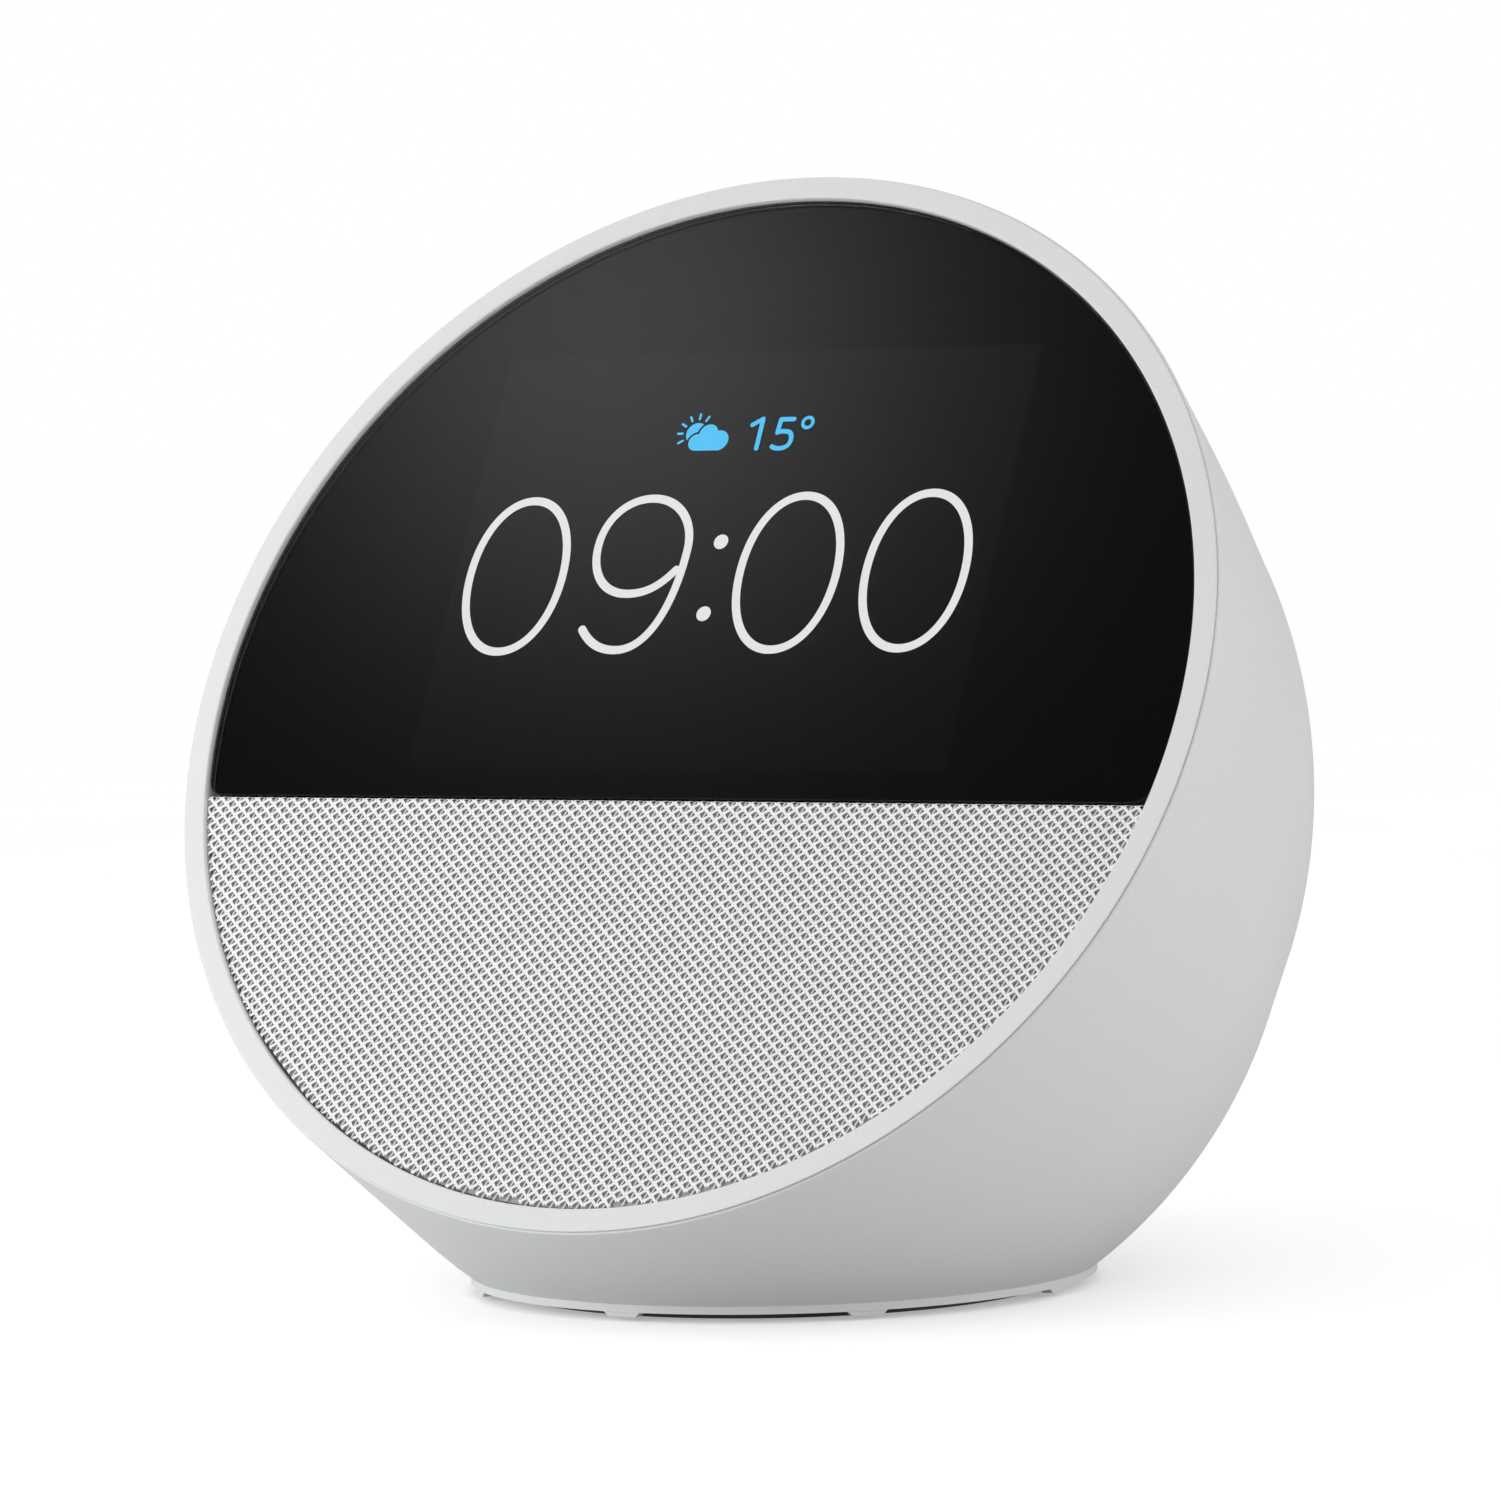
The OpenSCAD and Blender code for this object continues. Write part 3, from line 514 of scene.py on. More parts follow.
def finish_named(slot):
    """The material of a record slot, the print or the ink, made once."""
    if slot not in MATERIALS:
        white = tuple(settings().shell.colour)
        makers = {
            "shell_plastic": lambda: plastic("HousingPlastic", white, 0.5),
            "bezel_plastic": lambda: plastic("BezelPlastic", tuple(c * 1.01 for c in white), 0.46,
                                             bump=0.008),
            "key_plastic": lambda: plastic("KeyPlastic", white, 0.46, bump=0.008),
            "base_plastic": lambda: plastic("BasePlastic", (0.66, 0.68, 0.67), 0.55),
            "grille_plastic": lambda: plastic("GridPlastic", (0.42, 0.44, 0.44), 0.6),
            "dark_plastic": lambda: plastic("DarkPlastic", (0.03, 0.03, 0.032), 0.5, bump=0.02),
            "cover_glass": lambda: clear_glass("CoverGlass"),
            "panel_film": lambda: film_with_painted_rise("PanelFilmPaintedRise", 0.0013, 0.0037),
            "knit_cloth": lambda: yarn("KnitYarn", tuple(settings().knit.colour)),
            "foot_rubber": lambda: plastic("FootRubber", (0.16, 0.165, 0.165), 0.8, 1500.0, 0.03),
            "black_rubber": lambda: plastic("BlackRubber", (0.018, 0.018, 0.018), 0.65, 2500.0, 0.02),
            "foam_tape": lambda: plastic("FoamTape", (0.02, 0.02, 0.021), 0.95, 5000.0, 0.06),
            "steel": lambda: metal("ZincSteel", (0.56, 0.57, 0.58), 0.38),
            "magnet_ferrite": lambda: plastic("Ferrite", (0.045, 0.045, 0.048), 0.55, 6000.0, 0.03),
            "aluminium_sheet": lambda: metal("AluminiumSheet", (0.72, 0.73, 0.74), 0.42),
            "copper": lambda: metal("BrightCopper", (0.78, 0.38, 0.2), 0.3),
            "circuit_board": lambda: board_finish("CircuitBoard", (0.01, 0.11, 0.055)),
            "chip_resin": lambda: plastic("ChipResin", (0.02, 0.02, 0.022), 0.5, 7000.0, 0.01),
            "cone_paper": lambda: plastic("ConePaper", (0.035, 0.035, 0.037), 0.85, 2600.0, 0.08),
            "spider_cloth": lambda: yarn("SpiderCloth", (0.55, 0.34, 0.1)),
            "wire_cover": lambda: plastic("WireCover", (0.02, 0.02, 0.021), 0.45, 2000.0, 0.004),
            "black_print": lambda: plastic("BlackPrint", (0.0025, 0.0025, 0.0027), 0.7, 4000.0, 0.001,
                                           0.0, 0.0),
            "mark_ink": lambda: plastic("MarkInk", (0.22, 0.225, 0.225), 0.6, 5000.0, 0.002),
        }
        MATERIALS[slot] = makers[slot]()
    return MATERIALS[slot]


# ---------------------------------------------------------------------------
# Pieces
# ---------------------------------------------------------------------------

def skin_point(s, turn, collar, ball):
    """A point on the taut skin over rim, ball and belly: along the collar, then round to the back."""
    out = Vector((math.cos(turn), math.sin(turn), 0))
    centres = (Vector((0, 0, -BALL_DEPTH)), Vector((0, -BELLY_DROP, -BELLY_DEPTH)))
    tilts = []
    for centre in centres:
        reach, depth = RIM_R - centre.dot(out), LIP_W - centre.z
        tilts.append(math.atan2(depth, reach) - math.acos(s.ball_r / math.hypot(reach, depth)))
    tilt = max(tilts)
    if collar <= 1:
        normal = out * math.cos(tilt) + Vector((0, 0, math.sin(tilt)))
        touch = centres[tilts.index(tilt)] + normal * s.ball_r
        start = out * RIM_R + Vector((0, 0, LIP_W - 0.2 * MM))
        swell = s.swell * min(max((out.y + 0.9) / 0.7, 0), 1)
        return start.lerp(touch, collar) + normal * swell * 16 * (collar * (1 - collar)) ** 2
    angle = tilt + (-math.pi / 2 - tilt) * ball
    normal = out * math.cos(angle) + Vector((0, 0, math.sin(angle)))
    draw_in = s.waist * out.x ** 4 * (0.5 + out.y) * math.sin(math.pi * math.sqrt(ball)) ** 2
    return max(centres, key=normal.dot) + normal * (s.ball_r - draw_in)


class SPEAKER_OT_shell(bpy.types.Operator):
    """Ball-shaped housing with its base band, tabs, key holes and plug recess"""
    bl_idname = "clock_speaker.shell"
    bl_label = "Housing shell"
    collar_steps = 24
    ball_steps = 60
    band_depth = 2.4
    smoothing = 30

    def execute(self, context):
        s = settings().shell
        bm = bmesh.new()
        self.skin(bm, s)
        self.band(bm, s)
        self.mouth(bm, s)
        shell = new_object(bm, "housing_shell", self.smoothing)
        self.holes(shell)
        bm = bmesh.new()
        bm.from_mesh(shell.data)
        add_to(bm, self.fittings(s))
        bm.to_mesh(shell.data)
        bm.free()
        shell.data.shade_smooth()
        shell.data.set_sharp_from_angle(angle=math.radians(self.smoothing))
        even_shading(shell)
        fit_out(shell, "housing", "shell_plastic", "rear_housing")
        return {"FINISHED"}

    def skin(self, bm, s):
        """The taut skin from the rim round to the back."""
        bmesh.ops.create_circle(bm, cap_ends=False, segments=288, radius=RIM_R)
        turn = bm.verts.layers.float.new("turn")
        for v in bm.verts:
            v[turn] = math.atan2(v.co.y, v.co.x)
            v.co.z = LIP_W - 0.2 * MM
        edge = bm.edges[:]
        for step in range(1, self.collar_steps + self.ball_steps + 1):
            verts, edge = grow(bm, edge)
            for v in verts:
                v.co = skin_point(s, v[turn], step / self.collar_steps,
                                  (step - self.collar_steps) / self.ball_steps)
        bmesh.ops.remove_doubles(bm, verts=bm.verts, dist=1e-7)
        bmesh.ops.recalc_face_normals(bm, faces=bm.faces)
        bmesh.ops.transform(bm, matrix=ON_FACE, verts=bm.verts)

    def band(self, bm, s):
        """Cuts the skin at the band's top, and drops the band from there."""
        bisect(bm, (0, 0, s.band_high), (0, 0, -1), clear_outer=True)
        rim = [e for e in bm.edges
               if e.is_boundary and max(v.co.z for v in e.verts) < s.band_high + 0.1 * MM]
        set_round({v for e in rim for v in e.verts}, ON_BASE, s.base_r, s.band_high)
        inside = s.base_r - self.band_depth * MM
        for level, radius in ((s.band_low, s.base_r), (s.band_low, inside),
                              (s.band_high + 1.2 * MM, inside)):
            verts, rim = grow(bm, rim)
            set_round(verts, ON_BASE, radius, level)

    def mouth(self, bm, s):
        """Turns the mouth's lip in under the bezel."""
        edge = [e for e in bm.edges
                if e.is_boundary and min(v.co.z for v in e.verts) > s.band_high + 3 * MM]
        rim, ring = RIM_R / MM, BEZEL_R / MM
        for radius, w in ((rim - 0.06, -0.2), (ring + 0.1, -0.12), (ring + 0.05, -0.1), (rim - 1.35, -0.1),
                          (rim - 1.35, -3.0), (rim - 3.3, -3.0)):
            verts, edge = grow(bm, edge)
            set_round(verts, ON_FACE, radius * MM, w * MM)
        bmesh.ops.recalc_face_normals(bm, faces=bm.faces)

    def holes(self, shell):
        """Cuts the holes for the keys, the microphones and the plug."""
        bm = bmesh.new()
        for x in (-KEY_X, 0, KEY_X):
            rod(bm, ON_KEYS @ shift(x, 0, 51), KEY_HOLE_R, 12, 96)
        for x in (-MIC_X, MIC_X):
            rod(bm, ON_KEYS @ shift(x, 0, 51), MIC_HOLE_R, 12, 32)
        rod(bm, ON_JACK @ shift(0, 0, 7), PLUG_R, 22, 96)
        cutter = new_object(bm, "hole_cutter")
        cut = shell.modifiers.new("holes", "BOOLEAN")
        cut.operation = "DIFFERENCE"
        cut.solver = "EXACT"
        cut.object = cutter
        apply_modifiers(shell, self.smoothing)
        bpy.data.objects.remove(cutter)

    def fittings(self, s):
        """Collars behind the holes, the cup of the plug's recess, and the tabs."""
        part = bmesh.new()
        for x in (-KEY_X, 0, KEY_X):
            collar = [(KEY_HOLE_R, 44.6), (5.7, 44.6), (5.7, 48.4), (KEY_HOLE_R, 49.4)]
            add_turned(part, collar, ON_KEYS @ shift(x, 0, 0), 96)
        for x in (-MIC_X, MIC_X):
            collar = [(MIC_HOLE_R, 48.0), (1.2, 48.0), (1.2, 50.6), (MIC_HOLE_R, 50.9)]
            add_turned(part, collar, ON_KEYS @ shift(x, 0, 0), 32)
        cup = [(SOCKET_R, -2.0), (6.5, -2.0), (6.5, 3.0), (PLUG_R, 3.4), (PLUG_R, 0.0), (SOCKET_R, 0.0)]
        add_turned(part, cup, ON_JACK, 96)
        for i in range(s.tabs):
            turn = Matrix.Rotation(math.radians(270 + i * 360 / s.tabs), 4, "Z")
            made = block(part, (1.2, 4.2, 0.6), Matrix.Translation((s.base_r - 0.7 * MM, 0, 0.74 * MM)))
            # narrower at the bottom
            for v in made:
                if v.co.z < 0.5 * MM:
                    v.co.y *= 0.72
            bmesh.ops.transform(part, matrix=ON_BASE @ turn, verts=made)
        return part


class SPEAKER_OT_bezel(bpy.types.Operator):
    """Flat ring round the face, with the ledge, skirt, bar and baffle behind it"""
    bl_idname = "clock_speaker.bezel"
    bl_label = "Front bezel"

    def execute(self, context):
        o = settings().face.opening_r / MM
        ring = BEZEL_R / MM
        bm = bmesh.new()
        spin_closed(bm, [
            (o + 0.3, PROUD), (ring - 0.08, PROUD), (ring + 0.02, 0.17), (ring + 0.05, 0.12),
            (ring + 0.05, 0.05), (ring - 1.2, 0.05), (ring - 1.2, -2.9), (o - 1.5, -2.9), (o - 1.5, -6.5),
            (o - 3.1, -6.5), (o - 3.1, -1.9), (o, -1.9), (o, -0.1), (o + 0.03, 0.05),
            (o + 0.13, 0.16)], 400)
        split = settings().face.split / MM
        half = math.sqrt((o - 2) ** 2 - (split - 3.2) ** 2)
        block(bm, (2 * half, 4.8, 2.6), shift(0, split - 0.8, -3.2))
        disc = bmesh.new()
        outline(disc, (o - 2.6) * MM, -split * MM, 1 * MM, 0, 180)
        bmesh.ops.rotate(disc, cent=(0, 0, 0), matrix=Matrix.Rotation(math.pi, 3, "Z"), verts=disc.verts)
        bmesh.ops.translate(disc, vec=(0, 0, -4.5 * MM), verts=disc.verts)
        thicken(disc, 1.2 * MM)
        add_to(bm, disc)
        piece = new_object(bm, "bezel_ring", 30, ON_FACE)
        even_shading(piece)
        fit_out(piece, "housing", "bezel_plastic", "front_bezel")
        return {"FINISHED"}


class SPEAKER_OT_glass(bpy.types.Operator):
    """Cover glass, its black print and the display film"""
    bl_idname = "clock_speaker.glass"
    bl_label = "Display"

    def execute(self, context):
        f = settings().face
        bm = bmesh.new()
        outline(bm, f.opening_r - 0.13 * MM, f.split + 0.1 * MM, f.corner, -f.recess)
        thicken(bm, f.glass_t)
        glass = new_object(bm, "cover_glass", 30, ON_FACE)
        bevelled(glass, 0.12, 2)
        apply_modifiers(glass, 20)
        even_shading(glass)
        fit_out(glass, "housing", "cover_glass", "display_glass")
        # black print on the back of the glass, with the window of the lit area
        bm = bmesh.new()
        low = -f.recess - f.glass_t - 0.006 * MM
        outline(bm, f.opening_r - 0.17 * MM, f.split + 0.16 * MM, f.corner, low)
        for side, at in (((1, 0, 0), f.lit_w / 2), ((-1, 0, 0), f.lit_w / 2),
                         ((0, 1, 0), f.lit_v + f.lit_h / 2), ((0, -1, 0), -(f.lit_v - f.lit_h / 2))):
            bisect(bm, Vector(side) * at, side)
        window = [g for g in bm.faces if abs(g.calc_center_median().x) < f.lit_w / 2 - 1e-5
                  and abs(g.calc_center_median().y - f.lit_v) < f.lit_h / 2 - 1e-5]
        bmesh.ops.delete(bm, geom=window, context="FACES")
        thicken(bm, 0.01 * MM)
        mask = new_object(bm, "glass_print", 30, ON_FACE)
        fit_out(mask, "housing", "cover_glass", material=finish_named("black_print"))
        # the panel
        bm = bmesh.new()
        top = -f.recess - f.glass_t - 0.05 * MM
        for margin, thick, deep in ((3, 1.1, 0.85), (1, 0.3, 0.15)):
            block(bm, (f.lit_w / MM + margin, f.lit_h / MM + margin, thick),
                  shift(0, f.lit_v / MM, top / MM - deep))
        panel = new_object(bm, "display_panel", 30, ON_FACE)
        bevelled(panel, 0.05, 2)
        fit_out(panel, "housing", "panel_film", "lcd_panel")
        return {"FINISHED"}


def oval(cx, cv, rx, rv, k=0.585):
    """A closed path of four points, each (x, v, handle back, handle on) in millimetres on the face."""
    return [(cx, cv + rv, (-rx * k, 0), (rx * k, 0)), (cx + rx, cv, (0, rv * k), (0, -rv * k)),
            (cx, cv - rv, (rx * k, 0), (-rx * k, 0)), (cx - rx, cv, (0, -rv * k), (0, rv * k))]


def flatten(bm, depth):
    """Presses figures nearly flat and puts them at their depth."""
    bmesh.ops.scale(bm, vec=(1, 1, FLATNESS), verts=bm.verts)
    bmesh.ops.translate(bm, vec=(0, 0, depth), verts=bm.verts)


def stroke(name, points, width, closed, at, depth):
    """A flattened ribbon of round section along a Bezier path, as a mesh on the face."""
    curve = bpy.data.curves.new(name, "CURVE")
    curve.dimensions = "3D"
    curve.bevel_depth = width / 2 * MM
    curve.bevel_resolution = 2
    curve.use_fill_caps = True
    curve.resolution_u = 20
    spline = curve.splines.new("BEZIER")
    spline.bezier_points.add(len(points) - 1)
    for point, (x, v, before, after) in zip(spline.bezier_points, points):
        x, v = x + at[0], v + at[1]
        point.handle_left_type = point.handle_right_type = "FREE"
        point.co = (x * MM, v * MM, 0)
        point.handle_left = ((x + before[0]) * MM, (v + before[1]) * MM, 0)
        point.handle_right = ((x + after[0]) * MM, (v + after[1]) * MM, 0)
    spline.use_cyclic_u = closed
    holder = bpy.data.objects.new(name, curve)
    bpy.context.scene.collection.objects.link(holder)
    graph = bpy.context.evaluated_depsgraph_get()
    mesh = bpy.data.meshes.new_from_object(holder.evaluated_get(graph), depsgraph=graph)
    bpy.data.objects.remove(holder)
    bpy.data.curves.remove(curve)
    bm = bmesh.new()
    bm.from_mesh(mesh)
    bpy.data.meshes.remove(mesh)
    if not closed:
        for end in (points[0], points[-1]):
            dot(bm, end[0] + at[0], end[1] + at[1], width / 2)
    flatten(bm, depth)
    return bm


def dot(bm, x, v, radius):
    """A small flat disc, domed as a stroke is, so that both flatten alike."""
    bmesh.ops.create_icosphere(bm, subdivisions=3, radius=radius * MM, matrix=shift(x, v, 0))


class SPEAKER_OT_figures(bpy.types.Operator):
    """Clock figures, temperature and weather picture on the display"""
    bl_idname = "clock_speaker.figures"
    bl_label = "Clock figures"

    def execute(self, context):
        f = settings().face
        depth = -f.recess - f.glass_t - 0.03 * MM
        at = FIGURES_AT
        digits = bmesh.new()
        for cx, cv in ((-22.7, 12.47), (8.4, 12.6), (22.5, 12.7)):
            add_to(digits, stroke("nought", oval(cx, cv, 5.42, 8.3), 0.89, True, at, depth))
        nine = [(-3.62, 15.2, (0.0, -2.9), (0.0, 3.2)), (-8.95, 20.85, (3.0, 0), (-3.0, 0)),
                (-13.98, 15.65, (0, 2.95), (0, -2.95)), (-9.3, 10.42, (-2.9, 0), (2.4, 0)),
                (-4.35, 13.0, (-1.25, -1.5), (0, 0))]
        tail = [(-3.62, 15.2, (0.0, 1.0), (0.0, -6.2)), (-9.1, 4.3, (3.6, 0), (-1.9, 0)),
                (-13.45, 6.55, (1.15, -1.45), (0, 0))]
        add_to(digits, stroke("nine", nine, 0.89, False, at, depth))
        add_to(digits, stroke("tail", tail, 0.89, False, at, depth))
        colon = bmesh.new()
        for v in (16.0, 8.2):
            dot(colon, at[0], v + at[1], 0.8)
        flatten(colon, depth)
        add_to(digits, colon)
        piece = new_object(digits, "clock_figures", 60, ON_FACE)
        fit_out(piece, "housing", "panel_film", material=lit_sign("WhiteCells", tuple(f.digit_colour)))

        blue = bmesh.new()
        strokes = [
            [(0.35, 28.82, (0, 0), (0.35, 0.2)), (1.42, 29.45, (-0.3, -0.18), (0, 0))],
            [(1.42, 29.4, (0, 0), (0, -1.0)), (1.42, 26.2, (0, 1.0), (0, 0))],
            [(4.95, 29.36, (0, 0), (-0.5, 0)), (3.5, 29.36, (0.5, 0), (0, 0))],
            [(3.5, 29.36, (0, 0), (-0.03, -0.5)), (3.42, 27.9, (0, 0.5), (0, 0))],
            [(3.42, 27.9, (0, 0), (0.3, 0.12)), (4.15, 28.03, (-0.3, 0.02), (0.75, 0)),
             (5.12, 27.1, (0, 0.6), (0, -0.65)), (3.95, 26.16, (0.7, 0), (-0.35, 0)),
             (3.15, 26.38, (0.2, -0.14), (0, 0))],
        ]
        for points in strokes:
            add_to(blue, stroke("figure", points, 0.5, False, at, depth))
        add_to(blue, stroke("degree", oval(6.6, 28.94, 0.56, 0.56, 0.5523), 0.36, True, at, depth))
        cloud = bmesh.new()
        for x, v, r in ((-5.62, 27.0, 0.92), (-3.13, 27.17, 1.12), (-4.45, 27.9, 1.08), (-4.2, 27.1, 0.98)):
            dot(cloud, x + at[0], v + at[1], r)
        block(cloud, (2.5, 0.96, 0.4), shift(-4.38 + at[0], 26.56 + at[1], 0))
        sun = bmesh.new()
        dot(sun, -5.88 + at[0], 28.0 + at[1], 1.16)
        # the cloud stands in front: the sun keeps clear of it by a fixed gap
        for v in list(sun.verts):
            for x, y, r in ((-5.62, 27.0, 1.16), (-4.45, 27.9, 1.32)):
                flat = Vector((v.co.x - (x + at[0]) * MM, v.co.y - (y + at[1]) * MM, 0))
                if flat.length < r * MM:
                    away = Vector((-0.62, 0.78, 0))
                    along = flat.dot(away)
                    rest = flat - away * along
                    v.co += away * (math.sqrt(max((r * MM) ** 2 - rest.length_squared, 0)) - along)
        add_to(cloud, sun)
        flatten(cloud, depth)
        add_to(blue, cloud)
        for i in range(6):
            turn = math.radians(60 + i * 30)
            c, n = math.cos(turn), math.sin(turn)
            points = [(-5.88 + c * 1.58, 28.0 + n * 1.58, (0, 0), (c * 0.15, n * 0.15)),
                      (-5.88 + c * 2.1, 28.0 + n * 2.1, (-c * 0.15, -n * 0.15), (0, 0))]
            add_to(blue, stroke("ray", points, 0.25, False, at, depth))
        piece = new_object(blue, "weather_figures", 60, ON_FACE)
        fit_out(piece, "housing", "panel_film", material=lit_sign("BlueCells", tuple(f.weather_colour)))
        return {"FINISHED"}


class SPEAKER_OT_cloth(bpy.types.Operator):
    """Knit grille cloth: a ground sheet, the curls of yarn on it, and the open mesh in front"""
    bl_idname = "clock_speaker.cloth"
    bl_label = "Grille cloth"

    def execute(self, context):
        f, k = settings().face, settings().knit
        radius, low = f.opening_r - 0.3 * MM, -(f.split - 0.1 * MM)
        flip = Matrix.Rotation(math.pi, 4, "Z")
        bm = bmesh.new()
        outline(bm, radius, low, f.corner, 0)
        bmesh.ops.transform(bm, matrix=flip, verts=bm.verts)
        bmesh.ops.translate(bm, vec=(0, 0, -f.recess - 0.4 * MM), verts=bm.verts)
        area = sum(face.calc_area() for face in bm.faces)
        thicken(bm, 0.1 * MM)
        sheet = new_object(bm, "grille_cloth_ground", 30, ON_FACE)
        # painted shade: the ground is the knit yarn at 0.45 of its colour, for the shade inside the holes
        ground = yarn("GroundYarnPaintedShade", tuple(c * 0.45 for c in k.colour), 0.9, 0.04, 5000.0)
        fit_out(sheet, "housing", "knit_cloth", "grille_cloth", material=ground)

        # painted shade: the curls are the knit yarn at 0.8 of its colour, darker because they sit low in the
        # holes
        shaded_curl_yarn = yarn("CurlYarnPaintedShade", tuple(c * 0.8 for c in k.colour), 0.9, 0.02, 7000.0)
        px, pv = k.pitch_x / 2, k.pitch_v / 2
        down = self.strand((0, pv), (px, 0), k.yarn, k.node, -f.recess - 0.15 * MM)
        up = self.strand((-px, 0), (0, pv), k.yarn, k.node, -f.recess - 0.11 * MM)
        curl = self.curl(-f.recess - 0.22 * MM)
        for name, cell in (("mesh_strands_down", down), ("mesh_strands_up", up), ("mesh_curls", curl)):
            bm = self.spread(cell, radius, f.split - 0.1 * MM, k)
            piece = new_object(bm, name, 80, ON_FACE)
            fit_out(piece, "housing", "knit_cloth", material=shaded_curl_yarn if name == "mesh_curls" else None)
        return {"FINISHED"}

    def strand(self, start, end, thin, thick, w):
        """One strand between two knots, wide at its ends, as a mesh of a few dozen faces."""
        start, end = Vector((*start, 0)), Vector((*end, 0))
        along = end - start
        side = along.normalized().cross(Vector((0, 0, 1)))
        lead = 0.06 if start.y > end.y else -0.06
        stations = []
        for t, width, rise in ((0.02, thick, 0.0), (0.27, thin * 1.12, 0.05), (0.5, thin, 0.07),
                               (0.73, thin * 1.12, 0.05), (0.98, thick, 0.0)):
            # it leaves each knot sideways and crosses over half-way
            aside = abs(along.x) * lead * math.sin(2 * math.pi * t)
            stations.append((start + along * t + Vector((aside, 0, w + rise * MM)), side * width / 2))
        return self.yarn_through(stations, 5, math.pi / 2, 0.09 * MM)

    def curl(self, w):
        """The short crossing yarn inside a hole."""
        path = ((0.26, 0.42, 0.03), (0.08, 0.2, 0.0), (-0.06, -0.14, 0.0), (-0.16, -0.46, 0.03))
        stations = [(Vector((x * MM, v * MM, w + rise * MM)), Vector((0.11 * MM, 0, 0)))
                    for x, v, rise in path]
        return self.yarn_through(stations, 4, math.pi / 4, 0.1 * MM)

    def yarn_through(self, stations, sides, start, height):
        """A yarn through stations, each a centre and half its width as a vector to the side."""
        bm = bmesh.new()
        verts = bmesh.ops.create_circle(bm, segments=sides, radius=1.0)["verts"]
        edges = bm.edges[:]
        for i, (centre, side) in enumerate(stations):
            if i:
                verts, edges = grow(bm, edges)
            for j, v in enumerate(verts):
                turn = 2 * math.pi * j / sides + start
                v.co = centre + side * math.cos(turn) + Vector((0, 0, height * math.sin(turn)))
        bmesh.ops.recalc_face_normals(bm, faces=bm.faces)
        return self.as_cell(bm)

    def as_cell(self, bm):
        """An object of bm that a modifier repeats along its row."""
        mesh = bpy.data.meshes.new("knit_cell")
        bm.to_mesh(mesh)
        bm.free()
        cell = bpy.data.objects.new("knit_cell", mesh)
        bpy.context.scene.collection.objects.link(cell)
        run = cell.modifiers.new("row", "ARRAY")
        run.use_relative_offset = False
        run.use_constant_offset = True
        return cell

    def spread(self, cell, radius, top, k):
        """Rows of one cell over the opening; what would stand over its edge is tucked back to it."""
        run = cell.modifiers["row"]
        run.constant_offset_displace = (k.pitch_x, 0, 0)
        bm = bmesh.new()
        rows = int((top + radius) / (k.pitch_v / 2)) + 1
        for j in range(rows):
            v = top - k.pitch_v * 0.11 - j * k.pitch_v / 2
            if v < -radius:
                break
            half = math.sqrt(max(radius * radius - v * v, 0)) + k.pitch_x * 0.4
            phase = (0.5 if j % 2 else 0.0) * k.pitch_x - 0.27 * MM
            left = phase - math.floor((half + phase) / k.pitch_x) * k.pitch_x
            number = int((half - left) / k.pitch_x) + 1
            if number < 1:
                continue
            run.count = number
            graph = bpy.context.evaluated_depsgraph_get()
            mesh = bpy.data.meshes.new_from_object(cell.evaluated_get(graph), depsgraph=graph)
            mesh.transform(Matrix.Translation((left, v, 0)))
            bm.from_mesh(mesh)
            bpy.data.meshes.remove(mesh)
        edge = radius + 0.2 * MM
        for p in bm.verts:
            if p.co.y > top - 0.02 * MM:
                p.co.y = top - 0.02 * MM
            flat = math.hypot(p.co.x, p.co.y)
            if flat > edge:
                p.co.x *= edge / flat
                p.co.y *= edge / flat
        flat_faces = [face for face in bm.faces if face.calc_area() < 1e-12]
        bmesh.ops.delete(bm, geom=flat_faces, context="FACES")
        old = cell.data
        bpy.data.objects.remove(cell)
        bpy.data.meshes.remove(old)
        return bm


